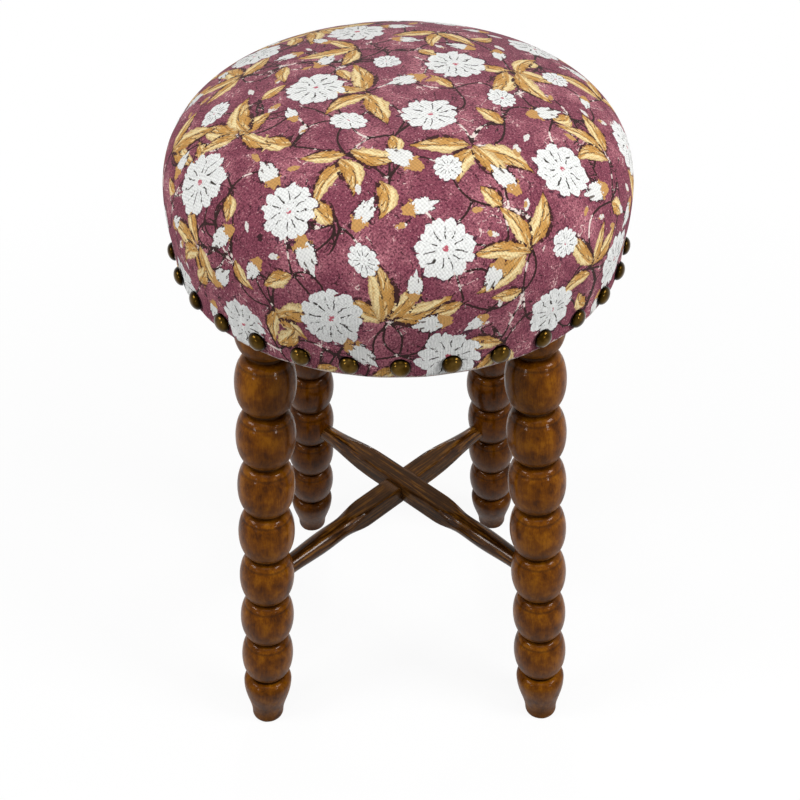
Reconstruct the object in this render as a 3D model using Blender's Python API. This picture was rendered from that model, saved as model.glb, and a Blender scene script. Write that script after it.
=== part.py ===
"""Low round stool: a domed, nailed seat on four bobbin-turned legs with a half-lapped X-stretcher.

Metres, +Z up. The origin is on the floor under the middle of the seat, and -Y is the front.
"""

import math

import bmesh
import bpy
from mathutils import Matrix, Vector

# Stance: the front pair of legs stands wider than the back pair, and all four rake outwards
FRONT_FEET = 0.236
BACK_FEET = 0.184
FEET_DEPTH = 0.216
# Where the legs meet the seat: how far in from the hem, and the angle from the cross axis
FRONT_SOCKET_INSET = 0.046
FRONT_SOCKET_ANGLE = math.radians(33.5)
BACK_SOCKET_INSET = 0.0615
BACK_SOCKET_ANGLE = math.radians(40.5)

# Bobbin turning of a leg, measured along its axis from the floor
FOOT_HEIGHT = 0.0518
FOOT_BASE_DIAMETER = 0.0262
FOOT_TOP_DIAMETER = 0.0395
FOOT_SHOULDER = 0.008
FOOT_EDGE = 0.002
BEAD_COUNT = 8
BEAD_DIAMETER = 0.042
BEAD_PITCH = 0.0449
NECK_DIAMETER = 0.0255
NECK_BAND = 0.003
COLLAR_HEIGHT = 0.001

# Joint of a leg with the seat board: a turned tenon in a blind socket, drawn up by one screw
TENON_DIAMETER = 0.022
SOCKET_FLOOR = 0.008
SCREW_DIAMETER = 0.005
SCREW_HEAD_DIAMETER = 0.0095
SCREW_HEAD_HEIGHT = 0.003
SCREW_LENGTH = 0.045
SCREW_SINK = 0.0015

# X-stretcher: square blanks, turned at both ends, with a waist and a swell towards the front legs
STRETCHER_BEAD = 3
STRETCHER_DROP = 0.0072
STRETCHER_SQUARE = 0.0178
STRETCHER_FRONT_SQUARE = 0.043
STRETCHER_BACK_SQUARE = 0.029
STRETCHER_WAIST = 0.0168
STRETCHER_WAIST_RUN = 0.027
STRETCHER_SWELL = 0.0176
STRETCHER_SWELL_RUN = 0.019
STRETCHER_FRONT_END = 0.0150
STRETCHER_BACK_END = 0.0143
STRETCHER_TENON = 0.012
LAP_PROUD = 0.003

# Seat board and the upholstery over it
SEAT_DIAMETER = 0.303
HEM_DRAWN_IN = 0.0035
BOARD_THICKNESS = 0.020
SEAT_BULGE_HEIGHT = 0.014
HALFWAY_DRAW = 0.3
CROWN_RISE = 0.099
CROWN_ROUND_OUT = 2.85
CROWN_ROUND_UP = 2.8
COVER_THICKNESS = 0.0012
HEM_TURN = 0.020
HEM_CORNER = 0.003
WADDING_THICKNESS = 0.006
DUST_COVER_INSET = 0.007
DUST_COVER_THICKNESS = 0.0008
DUST_COVER_EASE = 0.001

# Dome-headed upholstery nails round the hem, the first one at the front
NAIL_COUNT = 32
NAIL_HEAD_DIAMETER = 0.0115
NAIL_HEAD_HEIGHT = 0.0036
NAIL_SHANK_DIAMETER = 0.0016
NAIL_LENGTH = 0.013
NAIL_POINT = 0.003
NAIL_RISE = 0.0095

# Gap between faces that seat on each other
GAP = 0.0003
# Side of the blocks that trim the legs flat at the floor and under the board
TRIM_BLOCK = 0.6

# The untouched blank's radius, in half sides: past its corners also between the facets
CORNER_REACH = 1.5

# Facets
LEG_SEGMENTS = 14
BEAD_STEPS = 6
FOOT_STEPS = 5
SHOULDER_STEPS = 3
DOME_STEPS = 8
SECTION_POINTS = 16
SWEEP_STEPS = 4
BORE_SEGMENTS = 12
NAIL_SEGMENTS = 8
NAIL_DOME_STEPS = 2
NAIL_HOLE_SEGMENTS = 4

# One facet of the seat lies under each nail
SEAT_SEGMENTS = NAIL_COUNT
SEAT_TURN = math.pi / SEAT_SEGMENTS - math.pi / 2

# Heights and radii that follow from the sizes above
BOARD_BOTTOM = FOOT_HEIGHT + BEAD_COUNT * BEAD_PITCH + COLLAR_HEIGHT
BOARD_TOP = BOARD_BOTTOM + BOARD_THICKNESS
TENON_LENGTH = BOARD_THICKNESS - SOCKET_FLOOR
SEAT_RADIUS = SEAT_DIAMETER / 2
HEM_RADIUS = SEAT_RADIUS - HEM_DRAWN_IN
DUST_COVER_RADIUS = HEM_RADIUS - DUST_COVER_INSET
BOARD_RADIUS = HEM_RADIUS - COVER_THICKNESS - GAP
NAIL_SEAT_RADIUS = HEM_RADIUS * math.cos(math.pi / SEAT_SEGMENTS) + GAP
BULGE_Z = BOARD_TOP + SEAT_BULGE_HEIGHT
CROWN_Z = BOARD_TOP + CROWN_RISE
BLANK_RADIUS = STRETCHER_SQUARE / 2 * CORNER_REACH
STRETCHER_BEAD_MIDDLE = FOOT_HEIGHT + (STRETCHER_BEAD - 0.5) * BEAD_PITCH
NAIL_Z = BOARD_BOTTOM + NAIL_RISE

# Sides of the stool that each leg stands on: x sign, y sign
LEGS = {
    "front_left": (-1, -1),
    "front_right": (1, -1),
    "back_left": (-1, 1),
    "back_right": (1, 1),
}
# The stretcher on top in the lap is the one from the back left leg to the front right leg
STRETCHERS = {
    "upper": ("front_right", "back_left", LAP_PROUD),
    "lower": ("front_left", "back_right", 0.0),
}

# Colours are linear RGB
OAK_BROWN = (0.115, 0.040, 0.010)
STRETCHER_BROWN = (0.070, 0.028, 0.012)
PLUM = (0.180, 0.040, 0.070)
BRASS = (0.260, 0.170, 0.055)
STEEL = (0.550, 0.550, 0.540)
BIRCH_PLY = (0.560, 0.400, 0.230)
FOAM_CREAM = (0.780, 0.700, 0.480)
WADDING_WHITE = (0.860, 0.850, 0.820)
LINER_BLACK = (0.020, 0.020, 0.022)


def clear_scene():
    for old in list(bpy.data.objects):
        bpy.data.objects.remove(old, do_unlink=True)


def material(name, colour, roughness, metallic=0.0):
    made = bpy.data.materials.new(name)
    made.use_nodes = True
    shader = made.node_tree.nodes["Principled BSDF"]
    shader.inputs["Base Color"].default_value = (*colour, 1.0)
    shader.inputs["Roughness"].default_value = roughness
    shader.inputs["Metallic"].default_value = metallic
    made.diffuse_color = (*colour, 1.0)
    return made


def place(name, mesh, finish=None, matrix=None, parent=None):
    """A part where finish is given, otherwise a cutter or another helper that isn't rendered."""
    obj = bpy.data.objects.new(name, mesh)
    bpy.context.scene.collection.objects.link(obj)
    obj.matrix_world = matrix or Matrix()
    if finish is None:
        obj.hide_render = True
        obj.display_type = "WIRE"
    else:
        obj.data.materials.append(finish)
        obj.parent = parent
    return obj


def turn(name, profile, segments, finish=None, matrix=None, parent=None):
    """Turns a profile of (radius, height) points, given down the outer side from the top."""
    mesh = bpy.data.meshes.new(name)
    points = [(radius, 0.0, height) for radius, height in profile]
    mesh.from_pydata(points, [(i, i + 1) for i in range(len(points) - 1)], [])
    obj = place(name, mesh, finish, matrix, parent)
    screw = obj.modifiers.new("turning", "SCREW")
    screw.axis = "Z"
    screw.steps = segments
    screw.render_steps = segments
    screw.use_merge_vertices = True
    screw.merge_threshold = 1e-6
    screw.use_smooth_shade = True
    return obj


def turn_seat(name, profile, finish, parent):
    """A turned layer of the seat, with the middle of a facet at the front."""
    return turn(name, profile, SEAT_SEGMENTS, finish, Matrix.Rotation(SEAT_TURN, 4, "Z"), parent)


def cylinder(name, radius, low, high, matrix, segments=BORE_SEGMENTS):
    return turn(name, [(0, high), (radius, high), (radius, low), (0, low)], segments, None, matrix)


def box(name, low, high, matrix=None):
    mesh = bpy.data.meshes.new(name)
    shape = bmesh.new()
    bmesh.ops.create_cube(shape, size=1.0)
    low, high = Vector(low), Vector(high)
    size = high - low
    bmesh.ops.transform(
        shape,
        matrix=Matrix.Translation((low + high) / 2) @ Matrix.Diagonal((*size, 1.0)),
        verts=shape.verts,
    )
    shape.to_mesh(mesh)
    shape.free()
    return place(name, mesh, None, matrix)


def boolean(obj, other, operation="DIFFERENCE"):
    step = obj.modifiers.new(operation.lower() + "_" + other.name, "BOOLEAN")
    step.operation = operation
    step.solver = "EXACT"
    step.object = other


def along(start, direction, up=None):
    """A frame at start with its Z axis along direction."""
    z = Vector(direction).normalized()
    y = Vector(up) if up else Vector((0, 1, 0))
    x = y.cross(z).normalized()
    y = z.cross(x)
    frame = Matrix((x, y, z)).transposed().to_4x4()
    frame.translation = start
    return frame


def leg_axis(side):
    """Where the leg's axis meets the floor, and where it meets the underside of the seat board."""
    x, y = LEGS[side]
    feet, inset, angle = FRONT_FEET, FRONT_SOCKET_INSET, FRONT_SOCKET_ANGLE
    if y > 0:
        feet, inset, angle = BACK_FEET, BACK_SOCKET_INSET, BACK_SOCKET_ANGLE
    reach = HEM_RADIUS - inset
    foot = Vector((x * feet / 2, y * FEET_DEPTH / 2, 0.0))
    top = Vector((x * reach * math.cos(angle), y * reach * math.sin(angle), BOARD_BOTTOM))
    return foot, top


def leg_frame(side):
    foot, top = leg_axis(side)
    return along(foot, top - foot), (top - foot).length


def leg_point(side, height):
    foot, top = leg_axis(side)
    return foot.lerp(top, height / BOARD_BOTTOM)


def leg_profile(length):
    """The turned outline: the collar, oval beads and a vase-shaped foot that ends just below the floor."""
    neck = NECK_DIAMETER / 2
    swell = BEAD_DIAMETER / 2 - neck
    outline = [(0.0, length), (neck, length)]
    bead = BEAD_PITCH - NECK_BAND
    for number in range(BEAD_COUNT, 0, -1):
        high = FOOT_HEIGHT + number * BEAD_PITCH - NECK_BAND / 2
        for step in range(BEAD_STEPS + 1):
            angle = math.pi * step / BEAD_STEPS
            share = 0.5 - 0.5 * math.cos(angle)
            outline.append((neck + swell * math.sin(angle), high - bead * share))
    widest, base = FOOT_TOP_DIAMETER / 2, FOOT_BASE_DIAMETER / 2
    flare = widest - base
    taper = FOOT_HEIGHT - NECK_BAND / 2 - FOOT_SHOULDER
    for step in range(SHOULDER_STEPS + 1):
        angle = math.pi / 2 * step / SHOULDER_STEPS
        outline.append((neck + (widest - neck) * math.sin(angle), taper + FOOT_SHOULDER * math.cos(angle)))
    for step in range(1, FOOT_STEPS + 1):
        share = step / FOOT_STEPS
        ease = 0.5 + 0.5 * math.cos(math.pi * share)
        outline.append((base + flare * ease, taper * (1 - share)))
    outline.append((base - FOOT_EDGE, -FOOT_EDGE))
    outline.append((0.0, -FOOT_EDGE))
    return outline


def stretcher_height():
    """Height of the lower stretcher's axis, below the middle of its bead on the front legs."""
    _, length = leg_frame("front_left")
    return STRETCHER_BEAD_MIDDLE * BOARD_BOTTOM / length - STRETCHER_DROP


def lap_centre():
    """The point over which the two diagonals between the legs cross."""
    near = leg_point("front_right", stretcher_height())
    far = leg_point("back_left", stretcher_height())
    return near.lerp(far, near.x / (near.x - far.x))


def to_leg(side):
    return leg_point(side, stretcher_height()) - lap_centre()


def tenon_reach(side):
    """How far from the lap's centre a stretcher's tenon ends inside the leg."""
    return to_leg(side).length - BEAD_DIAMETER / 2 + STRETCHER_TENON


def stretcher_frame(name):
    """A frame at the lap with its Z axis towards the front leg and its Y axis up."""
    front, _, lift = STRETCHERS[name]
    return along(lap_centre() + Vector((0, 0, lift)), to_leg(front), up=(0, 0, 1))


def sweep(start, end):
    """Points of an S-shaped sweep from one (radius, place) point to another, without the first."""
    points = []
    for step in range(1, SWEEP_STEPS + 1):
        share = step / SWEEP_STEPS
        ease = 0.5 - 0.5 * math.cos(math.pi * share)
        points.append((start[0] + (end[0] - start[0]) * ease, start[1] + (end[1] - start[1]) * share))
    return points


def stretcher_end(side):
    _, y = LEGS[side]
    return (STRETCHER_FRONT_END if y < 0 else STRETCHER_BACK_END) / 2


def stretcher_arm(side):
    """Turned outline of one arm as (radius, place) points, from the end of its square to its tenon."""
    _, y = LEGS[side]
    reach = tenon_reach(side)
    seat = (stretcher_end(side), reach - STRETCHER_TENON)
    if y > 0:
        outline = [(BLANK_RADIUS, STRETCHER_BACK_SQUARE)]
        outline += sweep(outline[-1], seat)
    else:
        waist = STRETCHER_FRONT_SQUARE + STRETCHER_WAIST_RUN
        outline = [(BLANK_RADIUS, STRETCHER_FRONT_SQUARE)]
        outline += sweep(outline[-1], (STRETCHER_WAIST / 2, waist))
        outline += sweep(outline[-1], (STRETCHER_SWELL / 2, waist + STRETCHER_SWELL_RUN))
        outline += sweep(outline[-1], seat)
    return outline + [(stretcher_end(side), reach), (0.0, reach)]


def make_stretcher(name, finish, parent):
    """A turned bar that keeps the flats of its square blank where the turning is thicker."""
    front, back, _ = STRETCHERS[name]
    frame = stretcher_frame(name)
    profile = list(reversed(stretcher_arm(front)))
    profile += [(radius, -at) for radius, at in stretcher_arm(back)]
    bar = turn("stretcher_" + name, profile, SECTION_POINTS, finish, frame, parent)
    half, span = STRETCHER_SQUARE / 2, 2 * max(tenon_reach(front), tenon_reach(back))
    boolean(bar, box("blank_" + name, (-half, -half, -span), (half, half, span), frame), "INTERSECT")
    return bar


def cut_lap(stretchers):
    """Halves both stretchers where they cross, each over the width of the other."""
    middle = stretcher_height() + LAP_PROUD / 2
    half = STRETCHER_SQUARE / 2 + GAP
    span = STRETCHER_SQUARE * 2
    for name, other, low, high in (
        ("upper", "lower", middle - span, middle + GAP / 2),
        ("lower", "upper", middle - GAP / 2, middle + span),
    ):
        frame = stretchers[other].matrix_world
        down = frame.translation.z
        cutter = box("lap_cut_" + name, (-half, low - down, -span), (half, high - down, span), frame)
        boolean(stretchers[name], cutter)


def make_leg(side, finish, floor, ceiling, parent):
    frame, length = leg_frame(side)
    leg = turn("leg_" + side, leg_profile(length + TENON_LENGTH), LEG_SEGMENTS, finish, frame, parent)
    boolean(leg, floor)
    boolean(leg, ceiling)
    low, high = length - TENON_LENGTH, length + TENON_LENGTH
    boolean(leg, cylinder("tenon_" + side, TENON_DIAMETER / 2, low, high, frame), "UNION")
    pilot = screw_top(side) - SCREW_LENGTH - GAP
    bore = cylinder("pilot_" + side, SCREW_DIAMETER / 2 + GAP, pilot, high + TENON_LENGTH, frame)
    boolean(leg, bore)
    return leg


def cut_stretcher_socket(leg, side, name):
    """Blind bore for the tenon of the stretcher, from the middle of the stool into the leg."""
    frame = stretcher_frame(name)
    direction = 1 if side == STRETCHERS[name][0] else -1
    end = direction * (tenon_reach(side) + GAP)
    start = end - direction * 2 * BEAD_DIAMETER
    low, high = min(start, end), max(start, end)
    radius = stretcher_end(side) + GAP
    boolean(leg, cylinder("socket_" + side, radius, low, high, frame, SECTION_POINTS))


def screw_top(side):
    """Where the top of the screw's head lies along the leg's axis, sunk below the board's top."""
    _, length = leg_frame(side)
    lean = length / BOARD_BOTTOM
    return length + (BOARD_THICKNESS - SCREW_SINK) * lean


def screw_profile(top, spread, low):
    head, shank = SCREW_HEAD_DIAMETER / 2 + spread, SCREW_DIAMETER / 2 + spread
    return [(0, top), (head, top), (shank, top - SCREW_HEAD_HEIGHT), (shank, low), (0, low)]


def make_leg_screw(side, finish, parent):
    frame, _ = leg_frame(side)
    top = screw_top(side)
    point = [(0, top - SCREW_LENGTH)]
    shank = screw_profile(top, 0.0, top - SCREW_LENGTH + SCREW_DIAMETER)[:-1]
    return turn("leg_screw_" + side, shank + point, BORE_SEGMENTS, finish, frame, parent)


def cut_leg_sockets(board, side):
    frame, length = leg_frame(side)
    bore = cylinder(
        "board_socket_" + side,
        TENON_DIAMETER / 2 + GAP,
        length - BOARD_THICKNESS,
        length + TENON_LENGTH + GAP,
        frame,
    )
    boolean(board, bore)
    top = screw_top(side) + GAP
    above = top + BOARD_THICKNESS
    mouth = [(0, above), (SCREW_HEAD_DIAMETER / 2 + GAP, above)]
    shape = mouth + screw_profile(top, GAP, length)[1:]
    boolean(board, turn("countersink_" + side, shape, BORE_SEGMENTS, None, frame))


def seat_outline(inset, low):
    """The outer side of an upholstery layer, from the crown down to the height low."""
    rise = CROWN_Z - inset - BULGE_Z
    reach = SEAT_RADIUS - inset
    points = [(0.0, CROWN_Z - inset)]
    for step in range(1, DOME_STEPS + 1):
        angle = math.pi / 2 * (1 - step / DOME_STEPS)
        out = max(math.cos(angle), 0.0) ** (2 / CROWN_ROUND_OUT)
        up = max(math.sin(angle), 0.0) ** (2 / CROWN_ROUND_UP)
        points.append((reach * out, BULGE_Z + rise * up))
    points.append((reach - HEM_DRAWN_IN * HALFWAY_DRAW, (BULGE_Z + BOARD_TOP) / 2))
    points.append((reach - HEM_DRAWN_IN, BOARD_TOP))
    points.append((reach - HEM_DRAWN_IN, low))
    return points


def make_cover(finish, parent):
    """The cloth: over the dome, down the edge of the board and turned in under it."""
    under = BOARD_BOTTOM - GAP
    outside = seat_outline(0.0, under - COVER_THICKNESS + HEM_CORNER)
    outside.append((HEM_RADIUS - HEM_CORNER, under - COVER_THICKNESS))
    turned_in = HEM_RADIUS - HEM_TURN
    outside.append((turned_in, under - COVER_THICKNESS))
    inside = seat_outline(COVER_THICKNESS, under + HEM_CORNER - COVER_THICKNESS)
    inside.append((HEM_RADIUS - HEM_CORNER, under))
    inside.append((turned_in, under))
    return turn_seat("fabric_cover", outside + inside[::-1], finish, parent)


def make_wadding(finish, parent):
    """Soft wrap between the cloth and the foam, ending at the top of the board."""
    outer = COVER_THICKNESS + GAP
    inner = outer + WADDING_THICKNESS
    low = BOARD_TOP + GAP
    outside = seat_outline(outer, low)[:-2] + [(HEM_RADIUS - outer, low)]
    inside = seat_outline(inner, low)[:-2] + [(HEM_RADIUS - inner, low)]
    return turn_seat("wadding_wrap", outside + inside[::-1], finish, parent)


def make_foam(finish, parent):
    inset = COVER_THICKNESS + WADDING_THICKNESS + 2 * GAP
    low = BOARD_TOP + GAP
    outside = seat_outline(inset, low)[:-2] + [(HEM_RADIUS - inset, low), (0.0, low)]
    return turn_seat("foam_pad", outside, finish, parent)


def make_board(finish, parent):
    edge = HEM_CORNER
    outline = [
        (0.0, BOARD_TOP),
        (BOARD_RADIUS, BOARD_TOP),
        (BOARD_RADIUS, BOARD_BOTTOM + edge),
        (BOARD_RADIUS - edge, BOARD_BOTTOM),
        (0.0, BOARD_BOTTOM),
    ]
    return turn_seat("seat_board", outline, finish, parent)


def make_dust_cover(finish, parent):
    """Thin liner that closes the underside, cut out round the collars of the legs."""
    top = BOARD_BOTTOM - COVER_THICKNESS - 2 * GAP
    low = top - DUST_COVER_THICKNESS
    outline = [(0.0, top), (DUST_COVER_RADIUS, top), (DUST_COVER_RADIUS, low), (0.0, low)]
    liner = turn_seat("dust_cover", outline, finish, parent)
    for side in LEGS:
        frame, length = leg_frame(side)
        reach = BOARD_THICKNESS
        radius = NECK_DIAMETER / 2 + DUST_COVER_EASE
        boolean(liner, cylinder("liner_cut_" + side, radius, length - reach, length + reach, frame))
    return liner


def nail_frames():
    for number in range(NAIL_COUNT):
        angle = 2 * math.pi * number / NAIL_COUNT - math.pi / 2
        out = Vector((math.cos(angle), math.sin(angle), 0.0))
        seat = out * NAIL_SEAT_RADIUS + Vector((0, 0, NAIL_Z))
        yield number + 1, along(seat, out, up=(0, 0, 1))


def nail_profile():
    """Dome and pointed shank, down from the top of the head, whose underside is at height 0."""
    head, rise = NAIL_HEAD_DIAMETER / 2, NAIL_HEAD_HEIGHT
    shank = NAIL_SHANK_DIAMETER / 2
    dome = [(0.0, rise)]
    for step in range(1, NAIL_DOME_STEPS + 1):
        angle = math.pi / 2 * step / NAIL_DOME_STEPS
        dome.append((head * math.sin(angle), rise * math.cos(angle)))
    return dome + [(shank, 0.0), (shank, NAIL_POINT - NAIL_LENGTH), (0.0, -NAIL_LENGTH)]


def make_nails(finish, parent):
    first = None
    for number, frame in nail_frames():
        name = f"cover_nail_{number:02d}"
        nail = turn(name, nail_profile(), NAIL_SEGMENTS, finish, frame, parent)
        if first is None:
            first = nail.data
        nail.data = first


def cut_nail_holes(pieces):
    """Pilot holes through the cloth and into the edge of the board, all in one cutter."""
    shape = bmesh.new()
    depth = NAIL_LENGTH + GAP
    radius = (NAIL_SHANK_DIAMETER / 2 + GAP) / math.cos(math.pi / NAIL_HOLE_SEGMENTS)
    for _, frame in nail_frames():
        shift = Matrix.Translation((0, 0, -depth / 2 + COVER_THICKNESS))
        bmesh.ops.create_cone(
            shape,
            cap_ends=True,
            segments=NAIL_HOLE_SEGMENTS,
            radius1=radius,
            radius2=radius,
            depth=depth + 2 * COVER_THICKNESS,
            matrix=frame @ shift,
        )
    mesh = bpy.data.meshes.new("nail_holes")
    shape.to_mesh(mesh)
    shape.free()
    cutter = place("nail_holes", mesh)
    for piece in pieces:
        boolean(piece, cutter)


def main():
    clear_scene()
    stool = bpy.data.objects.new("stool", None)
    bpy.context.scene.collection.objects.link(stool)
    leg_wood = material("lacquered_turned_wood", OAK_BROWN, 0.28)
    stretcher_wood = material("stretcher_wood", STRETCHER_BROWN, 0.38)
    steel = material("screw_steel", STEEL, 0.35, 1.0)

    half = TRIM_BLOCK / 2
    floor = box("floor_cut", (-half, -half, -half), (half, half, 0.0))
    under_board = BOARD_BOTTOM - GAP
    ceiling = box("board_cut", (-half, -half, under_board), (half, half, under_board + half))
    legs = {side: make_leg(side, leg_wood, floor, ceiling, stool) for side in LEGS}

    stretchers = {name: make_stretcher(name, stretcher_wood, stool) for name in STRETCHERS}
    cut_lap(stretchers)
    for name, (front, back, _) in STRETCHERS.items():
        for side in (front, back):
            cut_stretcher_socket(legs[side], side, name)

    board = make_board(material("birch_plywood", BIRCH_PLY, 0.7), stool)
    for side in LEGS:
        make_leg_screw(side, steel, stool)
        cut_leg_sockets(board, side)
    make_foam(material("seat_foam", FOAM_CREAM, 0.9), stool)
    make_wadding(material("polyester_wadding", WADDING_WHITE, 0.95), stool)
    cover = make_cover(material("printed_cotton", PLUM, 0.85), stool)
    make_dust_cover(material("liner_cloth", LINER_BLACK, 0.95), stool)
    cut_nail_holes([cover, board])
    make_nails(material("antique_brass", BRASS, 0.3, 1.0), stool)


main()
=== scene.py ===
"""Looks of the low round stool: printed, nailed seat, bobbin-turned legs and half-lapped X-stretcher.

Metres, +Z up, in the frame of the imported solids. -Y is the front.
"""

import math
import random

import bmesh
import bpy
import numpy as np
from mathutils import Matrix, Vector


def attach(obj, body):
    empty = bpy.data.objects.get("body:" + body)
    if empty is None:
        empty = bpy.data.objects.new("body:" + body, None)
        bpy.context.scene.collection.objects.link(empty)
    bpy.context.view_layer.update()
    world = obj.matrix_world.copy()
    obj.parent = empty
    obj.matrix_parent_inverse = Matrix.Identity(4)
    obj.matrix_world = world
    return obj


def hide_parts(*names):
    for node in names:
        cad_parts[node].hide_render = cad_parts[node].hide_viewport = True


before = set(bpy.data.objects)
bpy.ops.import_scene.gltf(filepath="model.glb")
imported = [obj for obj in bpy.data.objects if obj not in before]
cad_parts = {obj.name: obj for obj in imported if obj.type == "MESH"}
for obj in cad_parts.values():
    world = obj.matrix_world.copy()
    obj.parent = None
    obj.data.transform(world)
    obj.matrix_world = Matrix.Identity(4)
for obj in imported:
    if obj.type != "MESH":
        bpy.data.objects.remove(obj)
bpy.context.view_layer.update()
MM = 0.001

# Stance of the legs: feet on the floor, sockets in the seat board
FRONT_FEET_WIDTH = 0.236
BACK_FEET_WIDTH = 0.184
FEET_DEPTH = 0.216
FRONT_SOCKET_INSET = 0.046
FRONT_SOCKET_ANGLE = math.radians(33.5)
BACK_SOCKET_INSET = 0.0615
BACK_SOCKET_ANGLE = math.radians(40.5)
LEGS = {
    "front_left": (-1, -1),
    "front_right": (1, -1),
    "back_left": (-1, 1),
    "back_right": (1, 1),
}

# Turning of a leg, along its axis from the floor
FOOT_HEIGHT = 0.0518
FOOT_BASE_DIAMETER = 0.0262
FOOT_TOP_DIAMETER = 0.0395
FOOT_SHOULDER = 0.008
FOOT_EDGE = 0.002
BEAD_COUNT = 8
BEAD_DIAMETER = 0.042
BEAD_PITCH = 0.0449
NECK_DIAMETER = 0.0255
NECK_BAND = 0.003
COLLAR_HEIGHT = 0.001
TENON_DIAMETER = 0.022
TENON_LENGTH = 0.012
# Steps along and round the turning, the angle past which an edge stays sharp, and how dull the foot and the
# undersides of the beads are and how dark there with painted shade
FOOT_EDGE_STEPS = 3
FOOT_STEPS = 14
FOOT_SHOULDER_STEPS = 12
BEAD_STEPS = 32
LEG_SEGMENTS = 64
LEG_SHARP = math.radians(50)
FOOT_DULL_SHADE = 0.8
SHOULDER_DULL_SHADE = 0.2
BEAD_DULL_SHADE = 0.75
# Painted shade in the creases: how many steps of a bead it covers at its lower and upper end, how dark it
# is at the upper end, and how dark on the fine line
CREASE_SHADE_STEPS_LOW = 5.0
CREASE_SHADE_STEPS_HIGH = 6.0
CREASE_SHADE_HIGH = 0.9
CREASE_SHADE_LINE = 0.6
# Distance between the grain of one leg and the next, in millimetres
GRAIN_APART = 400.0
# Fine line cut with the point of the skew on each bead's upper shoulder
SHOULDER_LINE = 0.0004
SHOULDER_LINE_ROW = 25
TURNING_SPREAD = 0.008
TURNING_DRIFT = 0.0004

# X-stretcher: square blanks, turned at both ends, with a waist and a swell towards the front legs
STRETCHER_BEAD = 3
STRETCHER_DROP = 0.0072
STRETCHER_SQUARE = 0.0178
STRETCHER_FRONT_SQUARE = 0.043
STRETCHER_BACK_SQUARE = 0.029
STRETCHER_WAIST = 0.0168
STRETCHER_WAIST_RUN = 0.027
STRETCHER_SWELL = 0.0176
STRETCHER_SWELL_RUN = 0.019
STRETCHER_FRONT_END = 0.0150
STRETCHER_BACK_END = 0.0143
STRETCHER_TENON = 0.012
STRETCHER_ARRIS = 0.0006
ARRIS_SHARPNESS = 60
SQUARE_STEPS = 5
ARM_STEP = 0.0022
ARM_LEAST_STEPS = 4
BAR_SEGMENTS = 64
BAR_SHARP = math.radians(24)
FLAT_DULLNESS = 0.7
LAP_PROUD = 0.003
# Front end, back end, lift, and where the grain is cut, in millimetres
STRETCHERS = {
    "upper": ("front_right", "back_left", LAP_PROUD, 2600.0),
    "lower": ("front_left", "back_right", 0.0, 3300.0),
}

# Seat
SEAT_RADIUS = 0.1515
HEM_DRAWN_IN = 0.0035
BOARD_THICKNESS = 0.020
SEAT_BULGE_HEIGHT = 0.014
CROWN_RISE = 0.099
CROWN_ROUND_OUT = 2.85
CROWN_ROUND_UP = 2.8
CROWN_STEPS = 400
CROWN_CROWDING = 1.6
SIDE_STEPS = 12
COVER_THICKNESS = 0.0012
HEM_TURN = 0.020
HEM_CORNER = 0.003
HEM_CORNER_STEPS = 6
HEM_FOLD_RISE = 0.0042
DUST_COVER_INSET = 0.007
DUST_COVER_THICKNESS = 0.0008
DUST_COVER_SAG = 0.0015
# Even share of the sag, and its ripples: size, count round the liner and twist
DUST_COVER_EVEN = 0.75
DUST_COVER_RIPPLES = ((0.15, 9, 3), (0.1, 23, 0))
DUST_COVER_EASE = 0.001
DUST_COVER_RINGS = 20
DUST_COVER_SEGMENTS = 96
LEG_HOLE_DEPTH = 0.02
LEG_HOLE_SEGMENTS = 48
GAP = 0.0003

# Nails, with heads a little fuller and lower than in the solids, and staples
NAIL_COUNT = 32
NAIL_HEAD_DIAMETER = 0.0122
NAIL_HEAD_HEIGHT = 0.0041
NAIL_RISE = 0.0084
NAIL_LIP = 0.0002
NAIL_RIM = 0.99
NAIL_HOLLOW = 0.85
NAIL_STEPS = 8
NAIL_SEGMENTS = 24
NAIL_TILT = 0.07
NAIL_SEED = 3
STAPLE_COUNT = 48
STAPLE_CROWN = 0.010
STAPLE_WIRE = 0.0007
STAPLE_ROUND = 0.6
STAPLE_INSET = 0.006
STAPLE_SKEW = 0.25
STAPLE_SEED = 5
SMALL_SHARP = math.radians(40)

# Heights and radii that follow
HEM_RADIUS = SEAT_RADIUS - HEM_DRAWN_IN
BOARD_BOTTOM = FOOT_HEIGHT + BEAD_COUNT * BEAD_PITCH + COLLAR_HEIGHT
BOARD_TOP = BOARD_BOTTOM + BOARD_THICKNESS
BULGE_Z = BOARD_TOP + SEAT_BULGE_HEIGHT
CROWN_Z = BOARD_TOP + CROWN_RISE
NAIL_Z = BOARD_BOTTOM + NAIL_RISE
HEM_FOLD_Z = BOARD_BOTTOM + HEM_FOLD_RISE
DUST_COVER_RADIUS = HEM_RADIUS - DUST_COVER_INSET
DUST_COVER_TOP = BOARD_BOTTOM - COVER_THICKNESS - 2 * GAP

# Cushion: grid of the cloth, and how far it may swell in the simulation
CLOTH_CELLS = 136
CLOTH_HEM_CELLS = 17
SWELL = 0.0025
SIM_FRAMES = 20
SIM_PRESSURE = 4.0
SIM_QUALITY = 6
SIM_POINT_MASS = 0.3
NAIL_DIMPLE = 0.0008
NAIL_DIMPLE_TIGHTNESS = 1.15
NAIL_CALM = 0.018
PLEAT_COUNT = 44
PLEAT_DEPTH = 0.0007
PLEAT_SWAY = 2.0
PLEAT_SWAY_COUNT = 5

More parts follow.
